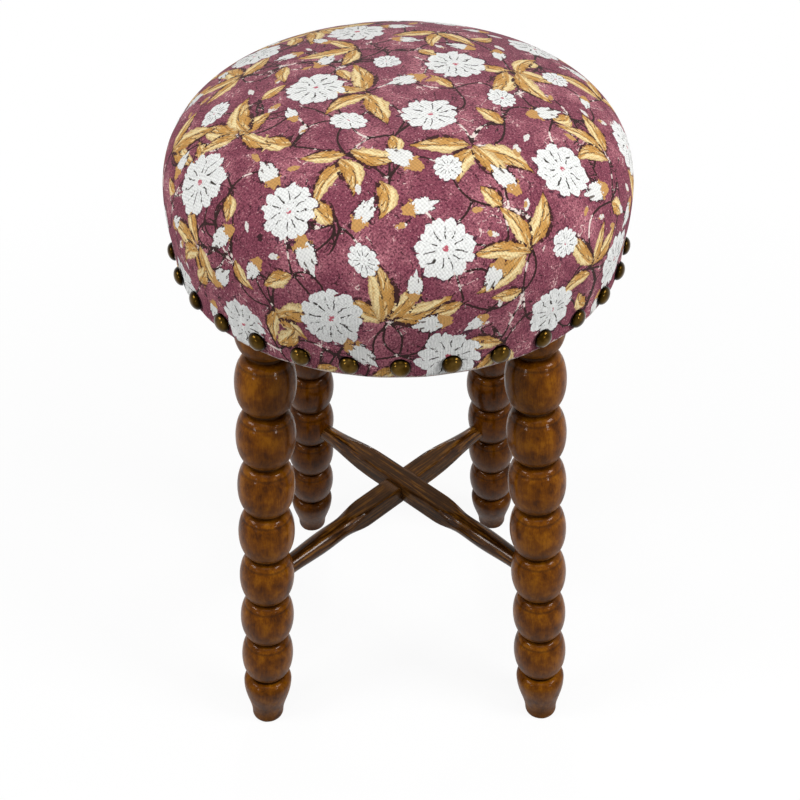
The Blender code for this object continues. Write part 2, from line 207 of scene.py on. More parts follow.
# Print on the cloth, and how far it goes down past the dome
PRINT_SEED = 11
PRINT_PAST_DOME = 0.020
SCATTER_TRIES = 6000
YARN_SPACING = 0.0012
BLOSSOM_RADIUS = 0.0178
BLOSSOM_SPREAD = (0.9, 1.1)
BLOSSOM_SQUASH = 0.94
BLOSSOM_COUNT = 60
BLOSSOM_SPACING = 0.062
SMALL_BLOSSOM = (0.5, 0.64)
SMALL_SQUASH = (0.65, 0.95)
SMALL_BLOSSOM_COUNT = 15
SMALL_BLOSSOM_SPACING = 0.040
PETAL_COUNT = 11
LEAF_LENGTH = (0.024, 0.040)
LEAF_WIDTH = 0.0125
LEAF_WIDTH_SPREAD = (0.7, 1.15)
LEAF_BEND = 0.9
LEAF_LAYERS = 3
LEAF_FROM_FOOT = 0.001
SPRAY_COUNT = 60
SPRAY_SPACING = 0.054
SPRAY_TO_BLOSSOM = 0.031
SPRAY_TO_SMALL = 0.022
SPRAY_LEAVES = (3, 3, 4, 4, 5)
SPRAY_FAN = (0.7, 1.2)
LONE_LEAF_COUNT = 60
LONE_LEAF_SPACING = 0.034
LONE_LEAF_SPREAD = (0.6, 1.0)
BUD_LENGTH = 0.021
BUD_WIDTH = 0.0100
BUD_COUNT = 55
BUD_SPACING = 0.024
BUD_TO_BLOSSOM = 0.026
BUD_TO_LEAF = 0.014
BIT_LENGTH = 0.0090
BIT_WIDTH = 0.0040
BIT_COUNT = 170
BIT_SPACING = 0.013
BUD_AND_BIT_SPREAD = (0.7, 1.25)
STEM_POINTS = 14
STEM_SWAY = 0.22
STEM_SHORTEST = 0.024
STEMS_PER_SPRAY = 3
STEM_REACH = 0.006
TENDRIL_CURL = 0.22
TENDRIL_WANDER = 0.3
TENDRIL_COUNT = 90
TENDRIL_LENGTH = (0.025, 0.055)
# How far round a motif its coordinates are kept, in its half sizes, how much they may stretch where the
# cover bends away, and what a layer of the print holds where it has no motif near
MOTIF_REACH = 2.5
MOTIF_STRETCH = 3.0
FAR = 9.0
# The cloth's flat coordinates are found at every so many points of the cover's outline
UV_ARC_STEP = 4

# Woods of the front legs, the back legs and the stretchers: dark, middle and light tone of the stain,
# colour of the dull parts (painted shade on the legs' undersides and feet, dust on the stretchers' flats),
# share of the grain in the tone, its width in millimetres, and weight of the lacquer. The back legs' tones
# are the front legs' darkened as painted shade, for the seat's shade on them.
WOODS = {
    "shellacked_hardwood": (("462100", "6F3C00", "935908"), "3A2910", 0.26, 0.8, 0.14),
    # Back legs: the stain darkened as painted shade
    "shellacked_hardwood_shaded": (("321600", "542A00", "704002"), "2A1C0C", 0.26, 0.8, 0.12),
    "stained_hardwood": (("120600", "3E2106", "825418"), "3C2B17", 0.75, 1.8, 0.34),
}

# Camera, as fitted to the photo: an image of 800 x 800
CAMERA_PLACE = (-0.0005, -0.579, 0.784)
CAMERA_PITCH = math.radians(42)
CAMERA_ROLL = math.radians(-0.7)
CAMERA_LENS = 45.4
# How much of the floor's look near the stool is plain white, the rest taking the shadows, how much light it
# throws back, and between which distances it fades to the white of the backdrop
FLOOR_WHITE = 0.91
FLOOR_BOUNCE = 0.25
FLOOR_NEAR = 0.25
FLOOR_FAR = 0.9
FLOOR_HALF = 6.0
ROOM_LIGHT = 0.12
WHITE = "FFFFFF"
# Soft boxes, aimed at the middle of the stool: place, length, width and power in watts
LAMP_AIM = Vector((0.0, 0.0, 0.3))
LAMPS = {
    "left_box": ((-1.0, -0.35, 1.1), 0.45, 0.30, 8.4),
    "right_box": ((0.95, -0.4, 1.15), 0.45, 0.30, 11.2),
    "low_left_box": ((-0.75, -0.85, 0.62), 0.13, 0.11, 1.2),
    "low_right_box": ((0.75, -0.85, 0.62), 0.13, 0.11, 1.5),
    "front_box": ((0.0, -0.6, 1.5), 0.7, 0.7, 2.6),
    "back_box": ((0.0, 1.35, 1.05), 0.20, 0.12, 4.0),
}


def linear(code):
    """Linear RGBA of an sRGB hex colour."""
    parts = [int(code[i : i + 2], 16) / 255 for i in (0, 2, 4)]
    return (*(p / 12.92 if p <= 0.04045 else ((p + 0.055) / 1.055) ** 2.4 for p in parts), 1.0)


def adder(tree, prefix="ShaderNode"):
    """A function that adds a node to the tree.

    Values and links of its inputs come in order, or by the input's name with _ for each space. Names in
    lower case are the node's settings, and a colour is hex text.
    """

    def add(kind, *inputs, **named):
        made = tree.nodes.new(prefix + kind)
        for key, value in named.items():
            if key[0].islower():
                setattr(made, key, value)
        given = list(zip(made.inputs, inputs))
        for key, value in named.items():
            if key[0].isupper():
                label = key.replace("_", " ")
                given.append((next(s for s in made.inputs if s.enabled and s.name == label), value))
        for socket, value in given:
            if isinstance(value, bpy.types.Node):
                value = next(s for s in value.outputs if s.enabled)
            if isinstance(value, bpy.types.NodeSocket):
                tree.links.new(value, socket)
            else:
                socket.default_value = linear(value) if isinstance(value, str) else value
        return made

    return add


def new_material(name):
    """A material that has no nodes yet, and the function that adds them."""
    made = bpy.data.materials.new(name)
    made.use_nodes = True
    made.node_tree.nodes.clear()
    return made, adder(made.node_tree)


def object_millimetres(add):
    """Object coordinates in millimetres."""
    return add("Mapping", Vector=add("TexCoord").outputs["Object"], Scale=(1 / MM, 1 / MM, 1 / MM))


def as_mesh(shape, name):
    mesh = bpy.data.meshes.new(name)
    shape.to_mesh(mesh)
    shape.free()
    return mesh


def ring_at(shape, radius, height, angles):
    return [shape.verts.new((radius * math.cos(a), radius * math.sin(a), height)) for a in angles]


def skin(shape, rings):
    """Faces between each ring of points and the next. A ring may be a single point."""
    for first, second in zip(rings, rings[1:]):
        count = max(len(first), len(second))
        for step in range(count):
            after = (step + 1) % count
            corners = [first[step % len(first)], first[after % len(first)]]
            corners += [second[after % len(second)], second[step % len(second)]]
            shape.faces.new(list(dict.fromkeys(corners)))


def new_piece(name, mesh, *finishes):
    piece = bpy.data.objects.new(name, mesh)
    bpy.context.scene.collection.objects.link(piece)
    for finish in finishes:
        piece.data.materials.append(finish)
    return piece


def plain_mesh(piece):
    """Turns the piece's modifiers into its plain mesh."""
    bpy.context.view_layer.update()
    graph = bpy.context.evaluated_depsgraph_get()
    mesh = bpy.data.meshes.new_from_object(piece.evaluated_get(graph))
    piece.modifiers.clear()
    piece.data = mesh
    return piece


def set_attribute(mesh, name, values):
    kind, field = ("FLOAT_VECTOR", "vector") if values.ndim == 2 else ("FLOAT", "value")
    layer = mesh.attributes.new(name, kind, "POINT")
    layer.data.foreach_set(field, values.astype(np.float32).ravel())


def mesh_points(mesh):
    points = np.zeros(len(mesh.vertices) * 3, np.float32)
    mesh.vertices.foreach_get("co", points)
    return points.reshape(-1, 3).astype(float)


def set_points(mesh, points):
    mesh.vertices.foreach_set("co", points.astype(np.float32).ravel())
    mesh.update()


def along(start, direction, up=(0, 1, 0)):
    """A frame at start with its Z axis along direction."""
    z = Vector(direction).normalized()
    x = Vector(up).cross(z).normalized()
    made = Matrix((x, z.cross(x), z)).transposed().to_4x4()
    made.translation = start
    return made


# Materials


def turned_wood(name, tones, dust_and_shade, grain_share, grain_width, lacquer):
    """Hardwood turned on a lathe, stained and shellacked: blotchy amber, fine grain, dull undersides with
    painted shade.
    """
    made, add = new_material(name)
    vector = add("Attribute", attribute_name="turning").outputs["Vector"]
    blotch_scale = add("Mapping", Vector=vector, Scale=(1 / 9, 1 / 9, 1 / 13))
    blotches = add("TexNoise", Vector=blotch_scale, Scale=1.0, Detail=4.0, Roughness=0.62)
    grain_scale = add("Mapping", Vector=vector, Scale=(1 / grain_width, 1 / grain_width, 1 / 30))
    grain = add("TexNoise", Vector=grain_scale, Scale=1.0, Detail=3.0, Roughness=0.6)
    fine = add("Math", grain.outputs[0], grain_share, operation="MULTIPLY")
    tone = add("Math", blotches.outputs[0], 1 - grain_share, fine, operation="MULTIPLY_ADD")
    ramp = add("ValToRGB", Fac=tone)
    stops = ramp.color_ramp.elements
    stops[0].position, stops[0].color = 0.36, linear(tones[0])
    stops[1].position, stops[1].color = 0.66, linear(tones[2])
    middle = stops.new(0.50)
    middle.color = linear(tones[1])
    # Duller and darker where hollow is set: painted shade under the beads and on the foot, dust on the
    # stretchers' flats
    hollow = add("Attribute", attribute_name="hollow")
    mottle = add("TexNoise", Vector=vector, Scale=1 / 5, Detail=5.0, Roughness=0.65)
    shade_and_dust_share = add("Math", hollow.outputs["Fac"], mottle.outputs[0], operation="MULTIPLY")
    with_shade_and_dust = add("Mix", Factor=shade_and_dust_share, A=ramp, B=dust_and_shade, data_type="RGBA")
    # Painted shade, dark 160A03, in the creases between the beads and on the shoulder line
    crease_shade = add("Attribute", attribute_name="crease_shade")
    dark = add("Math", crease_shade.outputs["Fac"], 0.85, operation="MULTIPLY")
    crease_shaded = add("Mix", Factor=dark, A=with_shade_and_dust, B="160A03", data_type="RGBA")
    scuff_noise = add("TexNoise", Vector=vector, Scale=1 / 3.2, Detail=7.0, Roughness=0.7)
    scuffs = add("MapRange", scuff_noise.outputs[0], 0.66, 0.74, 0.0, 0.35)
    colour = add("Mix", Factor=scuffs, A=crease_shaded, B="8A6438", data_type="RGBA")
    polish = add("MapRange", mottle.outputs[0], 0.3, 0.7, 0.24, 0.42)
    gloss = add("Math", hollow.outputs["Fac"], 0.28, polish, operation="MULTIPLY_ADD")
    coat = add("MapRange", hollow.outputs["Fac"], 0.0, 1.0, lacquer, 0.0)
    bump = add("Bump", Strength=0.2, Distance=0.25 * MM, Height=tone)
    shader = add(
        "BsdfPrincipled",
        Base_Color=colour,
        Roughness=gloss,
        Normal=bump,
        Specular_IOR_Level=0.08,
        Specular_Tint="FF9A48",
        Coat_Weight=coat,
        Coat_Roughness=0.14,
    )
    add("OutputMaterial", Surface=shader)
    return made


def leaf_print():
    """Node group: the colour and the mask of a printed leaf, from its own coordinates."""
    tree = bpy.data.node_groups.new("leaf_print", "ShaderNodeTree")
    for label, way, kind in (
        ("Leaf", "INPUT", "Vector"),
        ("Fray", "INPUT", "Float"),
        ("Blotch", "INPUT", "Float"),
        ("Color", "OUTPUT", "Color"),
        ("Mask", "OUTPUT", "Float"),
        ("Shadow", "OUTPUT", "Float"),
    ):
        tree.interface.new_socket(label, in_out=way, socket_type="NodeSocket" + kind)
    add, add_end = adder(tree), adder(tree, "NodeGroup")
    given = add_end("Input")
    xyz = add("SeparateXYZ", given.outputs["Leaf"])
    x, y, measure = xyz.outputs
    fray, blotch = given.outputs["Fray"], given.outputs["Blotch"]
    near = add("Math", measure, 1.5, operation="LESS_THAN")
    # Outline: widest towards the stalk, pointed at the tip, a little wavy
    narrow = add("Math", x, -0.38, 1.0, operation="MULTIPLY_ADD")
    side = add("Math", add("Math", y, operation="ABSOLUTE"), narrow, operation="DIVIDE")
    shape = add("Math", x, x, side, operation="MULTIPLY_ADD")
    wave = add("Math", blotch, 0.8, shape, operation="MULTIPLY_ADD")
    edge = add("Math", fray, 0.30, wave, operation="MULTIPLY_ADD")
    inside = add("Math", edge, 1.38, operation="LESS_THAN")
    mask = add("Math", inside, near, operation="MULTIPLY")
    # The dark key block prints a little off the gold one
    off_edge = add("Math", y, 0.22, edge, operation="MULTIPLY_ADD")
    lined = add("Math", off_edge, 1.52, operation="LESS_THAN")
    patchy = add("Math", blotch, 0.47, operation="GREATER_THAN")
    lined_near = add("Math", lined, near, operation="MULTIPLY")
    shadow = add("Math", lined_near, patchy, operation="MULTIPLY")
    # Pale streaks along the leaf, mostly in its upper half
    along_leaf = add("CombineXYZ", x, add("Math", y, 2.6, operation="MULTIPLY"), blotch)
    streak = add("TexNoise", Vector=along_leaf, Scale=1.7, Detail=3.0, Roughness=0.6).outputs[0]
    lit = add("Math", y, 0.16, streak, operation="MULTIPLY_ADD")
    pale = add("MapRange", lit, 0.46, 0.58, 0.0, 1.0)
    gold = add("Mix", Factor=pale, A="CB9852", B="F3DDA6", data_type="RGBA")
    rim = add("MapRange", edge, 1.08, 1.36, 0.0, 0.6)
    rimmed = add("Mix", Factor=rim, A=gold, B="A06C34", data_type="RGBA")
    # Midrib and a few side veins, in strokes
    bend = add("Math", fray, 0.30, y, operation="MULTIPLY_ADD")
    rib = add("Math", add("Math", bend, operation="ABSOLUTE"), 0.085, operation="LESS_THAN")
    slant = add("Math", side, -0.7, x, operation="MULTIPLY_ADD")
    swayed = add("Math", streak, 0.5, slant, operation="MULTIPLY_ADD")
    turns = add("Math", swayed, 11.0, operation="MULTIPLY")
    vein = add("Math", add("Math", turns, operation="SINE"), 0.93, operation="GREATER_THAN")
    below = add("Math", y, 0.15, operation="LESS_THAN")
    low_vein = add("Math", vein, below, operation="MULTIPLY")
    lines = add("Math", rib, low_vein, operation="MAXIMUM")
    strokes = add("Math", streak, 0.49, operation="GREATER_THAN")
    dashed = add("Math", lines, strokes, operation="MULTIPLY")
    soft = add("Math", dashed, 0.9, operation="MULTIPLY")
    veined = add("Mix", Factor=soft, A=rimmed, B="4E2C1C", data_type="RGBA")
    add_end("Output", Color=veined, Mask=mask, Shadow=shadow)
    return tree


def plum_ground(add, wear, rub, grit):
    """Plum ground: worn pinker in patches, dark grit in the ink, flecks of bare cloth where rubbed."""
    worn = add("MapRange", wear, 0.46, 0.66, 0.0, 1.0)
    ground = add("Mix", Factor=worn, A="8E4A5B", B="C07884", data_type="RGBA")
    dark_grit = add("MapRange", grit, 0.54, 0.38, 0.0, 0.9)
    gritty = add("Mix", Factor=dark_grit, A=ground, B="4C2030", data_type="RGBA")
    rubbed = add("MapRange", rub, 0.56, 0.72, 0.0, 1.0)
    bare_edge = add("Math", rubbed, 0.16, grit, operation="MULTIPLY_ADD")
    bare = add("MapRange", bare_edge, 0.635, 0.71, 0.0, 0.9)
    return add("Mix", Factor=bare, A=gritty, B="EED9D2", data_type="RGBA")


def print_scribbles(add, colour, mm, inked, wear):
    """Wiry scribbles between the motifs, in strokes of dark ink and of bare cloth."""
    noise = add("TexNoise", Vector=mm, Scale=1 / 15, Detail=2.5, Roughness=0.45)
    from_line = add("Math", noise.outputs[0], 0.5, operation="SUBTRACT")
    thin = add("Math", add("Math", from_line, operation="ABSOLUTE"), 0.0075, operation="LESS_THAN")
    ink = add("Math", thin, inked, operation="MULTIPLY")
    pale_ink = add("Math", wear, 0.55, operation="GREATER_THAN")
    tone = add("Mix", Factor=pale_ink, A="3A2126", B="E2C6C2", data_type="RGBA")
    return add("Mix", Factor=ink, A=colour, B=tone, data_type="RGBA")


def print_stems(add, colour, fray, rub):
    """Stems: thin dark lines, here and there of bare cloth."""
    stem = add("SeparateXYZ", add("Attribute", attribute_name="stem").outputs["Vector"])
    wander = add("Math", fray, 0.9, stem.outputs[0], operation="MULTIPLY_ADD")
    width = add("Math", add("Math", wander, operation="ABSOLUTE"), 0.62, operation="LESS_THAN")
    near = add("Math", stem.outputs[1], 2.6, operation="LESS_THAN")
    line = add("Math", width, near, operation="MULTIPLY")
    pale = add("Math", rub, 0.57, operation="GREATER_THAN")
    tone = add("Mix", Factor=pale, A="33201F", B="EADBD4", data_type="RGBA")
    return add("Mix", Factor=line, A=colour, B=tone, data_type="RGBA")


def print_leaves(add, colour, fray, blotch):
    """Leaves, in layers that keep neighbours apart."""
    group = leaf_print()
    for number in range(LEAF_LAYERS):
        own = add("Attribute", attribute_name=f"leaf_{number}").outputs["Vector"]
        leaf = add("Group", Leaf=own, Fray=fray, Blotch=blotch, node_tree=group).outputs
        under = add("Mix", Factor=leaf["Shadow"], A=colour, B="3F2222", data_type="RGBA")
        colour = add("Mix", Factor=leaf["Mask"], A=under, B=leaf["Color"], data_type="RGBA")
    return colour


def print_buds(add, colour, fray, blotch, inked):
    """Buds: white drops in a gold cup."""
    bud = add("SeparateXYZ", add("Attribute", attribute_name="bud").outputs["Vector"])
    x, y, measure = bud.outputs
    side = add("Math", y, operation="ABSOLUTE")
    drop = add("Math", x, x, side, operation="MULTIPLY_ADD")
    lobes = add("Math", y, 8.0, operation="MULTIPLY")
    lobe = add("Math", add("Math", lobes, operation="COSINE"), x, operation="MULTIPLY")
    shape = add("Math", lobe, -0.16, drop, operation="MULTIPLY_ADD")
    edge = add("Math", fray, 0.8, shape, operation="MULTIPLY_ADD")
    near = add("Math", measure, 1.4, operation="LESS_THAN")
    inside = add("Math", edge, 0.95, operation="LESS_THAN")
    mask = add("Math", inside, near, operation="MULTIPLY")
    wide = add("Math", edge, 1.22, operation="LESS_THAN")
    cup_split = add("Math", blotch, 1.2, x, operation="MULTIPLY_ADD")
    cup = add("Math", cup_split, 0.22, operation="LESS_THAN")
    cup_near = add("Math", wide, near, operation="MULTIPLY")
    cup_mask = add("Math", cup_near, cup, operation="MULTIPLY")
    line = add("Math", edge, 1.16, operation="LESS_THAN")
    line_ink = add("Math", line, inked, operation="MULTIPLY")
    lined = add("Math", line_ink, near, operation="MULTIPLY")
    around = add("Mix", Factor=lined, A=colour, B="3A2126", data_type="RGBA")
    vein = add("Math", lobe, -0.25, operation="LESS_THAN")
    stroke = add("Math", vein, inked, operation="MULTIPLY")
    white = add("Mix", Factor=stroke, A="E9E9E6", B="6E6660", data_type="RGBA")
    with_bud = add("Mix", Factor=mask, A=around, B=white, data_type="RGBA")
    return add("Mix", Factor=cup_mask, A=with_bud, B="C7975A", data_type="RGBA")


def print_bits(add, colour, fray, wear):
    """Bits: small pale petals and seeds between the sprays."""
    bit = add("SeparateXYZ", add("Attribute", attribute_name="bit").outputs["Vector"])
    x, y, measure = bit.outputs
    side = add("Math", y, operation="ABSOLUTE")
    shape = add("Math", x, x, side, operation="MULTIPLY_ADD")
    edge = add("Math", fray, 1.4, shape, operation="MULTIPLY_ADD")
    inside = add("Math", edge, 0.95, operation="LESS_THAN")
    near = add("Math", measure, 1.8, operation="LESS_THAN")
    mask = add("Math", inside, near, operation="MULTIPLY")
    gold = add("Math", wear, 0.5, operation="GREATER_THAN")
    tone = add("Mix", Factor=gold, A="E4DFDA", B="C69A60", data_type="RGBA")
    return add("Mix", Factor=mask, A=colour, B=tone, data_type="RGBA")


def print_blossoms(add, colour, mm, fray, blotch, grit):
    """Blossoms: white rounds with scalloped petals, broken dark lines between them and a small eye."""
    blossom = add("SeparateXYZ", add("Attribute", attribute_name="blossom").outputs["Vector"])
    x, y, measure = blossom.outputs
    y_square = add("Math", y, y, operation="MULTIPLY")
    reach_square = add("Math", x, x, y_square, operation="MULTIPLY_ADD")
    reach = add("Math", reach_square, operation="SQRT")
    uneven_noise = add("TexNoise", Vector=mm, Scale=1 / 9, Detail=2.0)
    uneven = add("Math", uneven_noise.outputs[0], 0.5, operation="SUBTRACT")
    straight = add("Math", y, x, operation="ARCTAN2")
    turn = add("Math", uneven, 0.9, straight, operation="MULTIPLY_ADD")
    petal_turn = add("Math", turn, PETAL_COUNT / 2, operation="MULTIPLY")
    petal_wave = add("Math", add("Math", petal_turn, operation="COSINE"), operation="ABSOLUTE")
    petal_round = add("Math", petal_wave, 0.6, operation="POWER")
    scallop = add("Math", petal_round, 0.20, 0.80, operation="MULTIPLY_ADD")
    outline = add("Math", uneven, 0.5, scallop, operation="MULTIPLY_ADD")
    ragged = add("Math", fray, 0.13, reach, operation="MULTIPLY_ADD")
    to_edge = add("Math", ragged, outline, operation="DIVIDE")
    near = add("Math", measure, 1.25, operation="LESS_THAN")
    inside = add("Math", to_edge, 1.0, operation="LESS_THAN")
    mask = add("Math", inside, near, operation="MULTIPLY")
    halo_in = add("Math", to_edge, 1.12, operation="LESS_THAN")
    halo_patch = add("Math", blotch, 0.54, operation="GREATER_THAN")
    halo_near = add("Math", halo_in, near, operation="MULTIPLY")
    halo = add("Math", halo_near, halo_patch, operation="MULTIPLY")
    haloed = add("Mix", Factor=halo, A=colour, B="4B2B38", data_type="RGBA")
    petal_line = add("Math", petal_wave, reach, operation="MULTIPLY")
    line_sway = add("Math", fray, 0.16, petal_line, operation="MULTIPLY_ADD")
    line_width = add("Math", line_sway, 0.12, operation="LESS_THAN")
    line_start = add("Math", reach, 0.30, operation="GREATER_THAN")
    line_end = add("Math", to_edge, 0.84, operation="LESS_THAN")
    line_break = add("Math", blotch, 0.45, operation="GREATER_THAN")
    line_span = add("Math", line_start, line_end, operation="MULTIPLY")
    line_dash = add("Math", line_width, line_break, operation="MULTIPLY")
    line = add("Math", line_span, line_dash, operation="MULTIPLY")
    eye_in = add("Math", ragged, 0.10, operation="LESS_THAN")
    eye_break = add("Math", blotch, 0.48, operation="GREATER_THAN")
    eye = add("Math", eye_in, eye_break, operation="MULTIPLY")
    rubbed = add("MapRange", grit, 0.46, 0.34, 0.0, 0.6)
    white = add("Mix", Factor=rubbed, A="EEEFED", B="B9B4B4", data_type="RGBA")
    petals = add("Mix", Factor=line, A=white, B="3F3A36", data_type="RGBA")
    with_eye = add("Mix", Factor=eye, A=petals, B="C0606E", data_type="RGBA")
    return add("Mix", Factor=mask, A=haloed, B=with_eye, data_type="RGBA")


def hem_fold(add, colour, mm, blotch):
    """Fold at the lower edge of the hem, where the bare back of the cloth shows."""
    height = add("SeparateXYZ", mm).outputs[2]
    edge = add("Math", blotch, 7.0, height, operation="MULTIPLY_ADD")
    low = HEM_FOLD_Z / MM
    fold = add("MapRange", edge, low + 0.6, low, 0.0, 0.85)
    return add("Mix", Factor=fold, A=colour, B="E4CFC6", data_type="RGBA")


def plain_weave(add, blotch, grit):
    """Plain weave of uneven yarn, drawn at 1.2 mm, not the real 0.7 mm, so that it shows."""
    yarn = math.pi / YARN_SPACING
    threads = add("Mapping", Vector=add("UVMap", uv_map="cloth"), Scale=(yarn, yarn, 1))
    thread = add("SeparateXYZ", threads)
    sway = add("Math", blotch, 5.0, operation="MULTIPLY")
    warp_turn = add("Math", thread.outputs[0], sway, operation="ADD")
    weft_turn = add("Math", thread.outputs[1], sway, operation="SUBTRACT")
    warp = add("Math", warp_turn, operation="SINE")
    weft = add("Math", weft_turn, operation="SINE")
    over = add("Math", warp, weft, operation="MULTIPLY")
    return add("Math", over, 0.28, grit, operation="MULTIPLY_ADD")


def printed_cotton():
    """Block-printed cotton canvas: matt, coarse, with frayed print edges and flecks of bare cloth."""
    made, add = new_material("printed_cotton_canvas")
    mm = object_millimetres(add)
    fray_noise = add("TexNoise", Vector=mm, Scale=1 / 1.5, Detail=2.0)
    fray = add("Math", fray_noise.outputs[0], 0.5, operation="SUBTRACT")
    blotch = add("TexNoise", Vector=mm, Scale=1 / 3.5, Detail=3.0, Roughness=0.65).outputs[0]
    inked = add("Math", blotch, 0.50, operation="GREATER_THAN")
    wear = add("TexNoise", Vector=mm, Scale=1 / 26, Detail=5.0, Roughness=0.62).outputs[0]
    rub = add("TexNoise", Vector=mm, Scale=1 / 13, Detail=6.0, Roughness=0.7).outputs[0]
    grit = add("TexNoise", Vector=mm, Scale=1 / 1.1, Detail=3.0, Roughness=0.8).outputs[0]
    colour = plum_ground(add, wear, rub, grit)
    colour = print_scribbles(add, colour, mm, inked, wear)
    colour = print_stems(add, colour, fray, rub)
    colour = print_leaves(add, colour, fray, blotch)
    colour = print_buds(add, colour, fray, blotch, inked)
    colour = print_bits(add, colour, fray, wear)
    colour = print_blossoms(add, colour, mm, fray, blotch, grit)
    colour = hem_fold(add, colour, mm, blotch)
    weave = plain_weave(add, blotch, grit)
    tint = add("MapRange", weave, 0.2, 0.8, 0.80, 1.12)
    cloth = add("Mix", Factor=1.0, A=colour, B=tint, data_type="RGBA", blend_type="MULTIPLY")
    bump = add("Bump", Strength=0.5, Distance=0.4 * MM, Height=weave)
    shader = add(
        "BsdfPrincipled",
        Base_Color=cloth,
        Normal=bump,
        Roughness=0.9,
        Sheen_Weight=0.05,
        Sheen_Roughness=0.5,
        Specular_IOR_Level=0.15,
    )
    add("OutputMaterial", Surface=shader)
    return made


def antique_brass():
    """Drawn brass caps, darkened by an antique wash: black round the rim, rubbed off the crown."""
    made, add = new_material("antique_brass")
    mm = object_millimetres(add)
    wash = add("TexNoise", Vector=mm, Scale=1 / 5.0, Detail=3.0, Roughness=0.5)
    tone = add("MapRange", wash.outputs[0], 0.38, 0.66, 0.0, 1.0)
    brass = add("Mix", Factor=tone, A="3A280A", B="5E4820", data_type="RGBA")
    crown = add("Attribute", attribute_name="crown")
    rubbed = add("MapRange", crown.outputs["Fac"], 0.2, 0.9, 0.0, 1.0)
    colour = add("Mix", Factor=rubbed, A="120A00", B=brass, data_type="RGBA")
    rough = add("MapRange", wash.outputs[0], 0.3, 0.7, 0.21, 0.14)
    scratches = add("TexNoise", Vector=mm, Scale=1 / 0.6, Detail=3.0)
    bump = add("Bump", Strength=0.06, Distance=0.1 * MM, Height=scratches.outputs[0])
    shader = add("BsdfPrincipled", Base_Color=colour, Roughness=rough, Normal=bump, Metallic=1.0)
    add("OutputMaterial", Surface=shader)
    return made


def liner_cloth():
    """Black spun-bonded liner: matt, with a dimpled bond pattern."""
    made, add = new_material("spun_bonded_liner")
    mm = object_millimetres(add)
    bond = add("TexVoronoi", Vector=mm, Scale=1 / 1.8, Randomness=0.25)
    fibres = add("TexNoise", Vector=mm, Scale=1 / 2.5, Detail=6.0, Roughness=0.75)
    colour = add("Mix", Factor=fibres.outputs[0], A="131315", B="2E2E31", data_type="RGBA")
    bump = add("Bump", Strength=0.4, Distance=0.25 * MM, Height=bond.outputs["Distance"])
    shader = add("BsdfPrincipled", Base_Color=colour, Normal=bump, Roughness=0.85)
    add("OutputMaterial", Surface=shader)
    return made


def zinc_steel():
    """Zinc-plated steel wire and screws: bright, with a faint blue-grey cloud."""
    made, add = new_material("zinc_plated_steel")
    mm = object_millimetres(add)
    cloud = add("TexNoise", Vector=mm, Scale=1 / 2.0, Detail=4.0)
    colour = add("Mix", Factor=cloud.outputs[0], A="A9ADB2", B="D3D2CC", data_type="RGBA")
    rough = add("MapRange", cloud.outputs[0], 0.3, 0.7, 0.25, 0.42)
    shader = add("BsdfPrincipled", Base_Color=colour, Roughness=rough, Metallic=1.0)
    add("OutputMaterial", Surface=shader)
    return made


def birch_plywood():
    """Birch plywood: pale rotary-cut faces, with thin plies that show as bands on the edge."""
    made, add = new_material("birch_plywood")
    mm = object_millimetres(add)
    stretched = add("Mapping", Vector=mm, Scale=(1 / 60, 1 / 5, 1))
    figure = add("TexNoise", Vector=stretched, Scale=1.0, Detail=5.0, Roughness=0.6)
    height = add("SeparateXYZ", mm).outputs[2]
    plies = add("Math", height, 2 * math.pi / 2.8, operation="MULTIPLY")
    ply = add("Math", plies, operation="SINE")
    tone = add("Math", ply, 0.12, figure.outputs[0], operation="MULTIPLY_ADD")
    colour = add("Mix", Factor=tone, A="B08A5C", B="DCC49C", data_type="RGBA")
    bump = add("Bump", Strength=0.2, Distance=0.2 * MM, Height=figure.outputs[0])
    shader = add("BsdfPrincipled", Base_Color=colour, Normal=bump, Roughness=0.7)
    add("OutputMaterial", Surface=shader)
    return made


# Legs and stretchers


def leg_axis(side):
    """Where the leg's axis meets the floor, and where it meets the underside of the seat board."""
    x, y = LEGS[side]
    feet, inset, angle = FRONT_FEET_WIDTH, FRONT_SOCKET_INSET, FRONT_SOCKET_ANGLE
    if y > 0:
        feet, inset, angle = BACK_FEET_WIDTH, BACK_SOCKET_INSET, BACK_SOCKET_ANGLE
    reach = HEM_RADIUS - inset
    foot = Vector((x * feet / 2, y * FEET_DEPTH / 2, 0.0))
    top = Vector((x * reach * math.cos(angle), y * reach * math.sin(angle), BOARD_BOTTOM))
    return foot, top


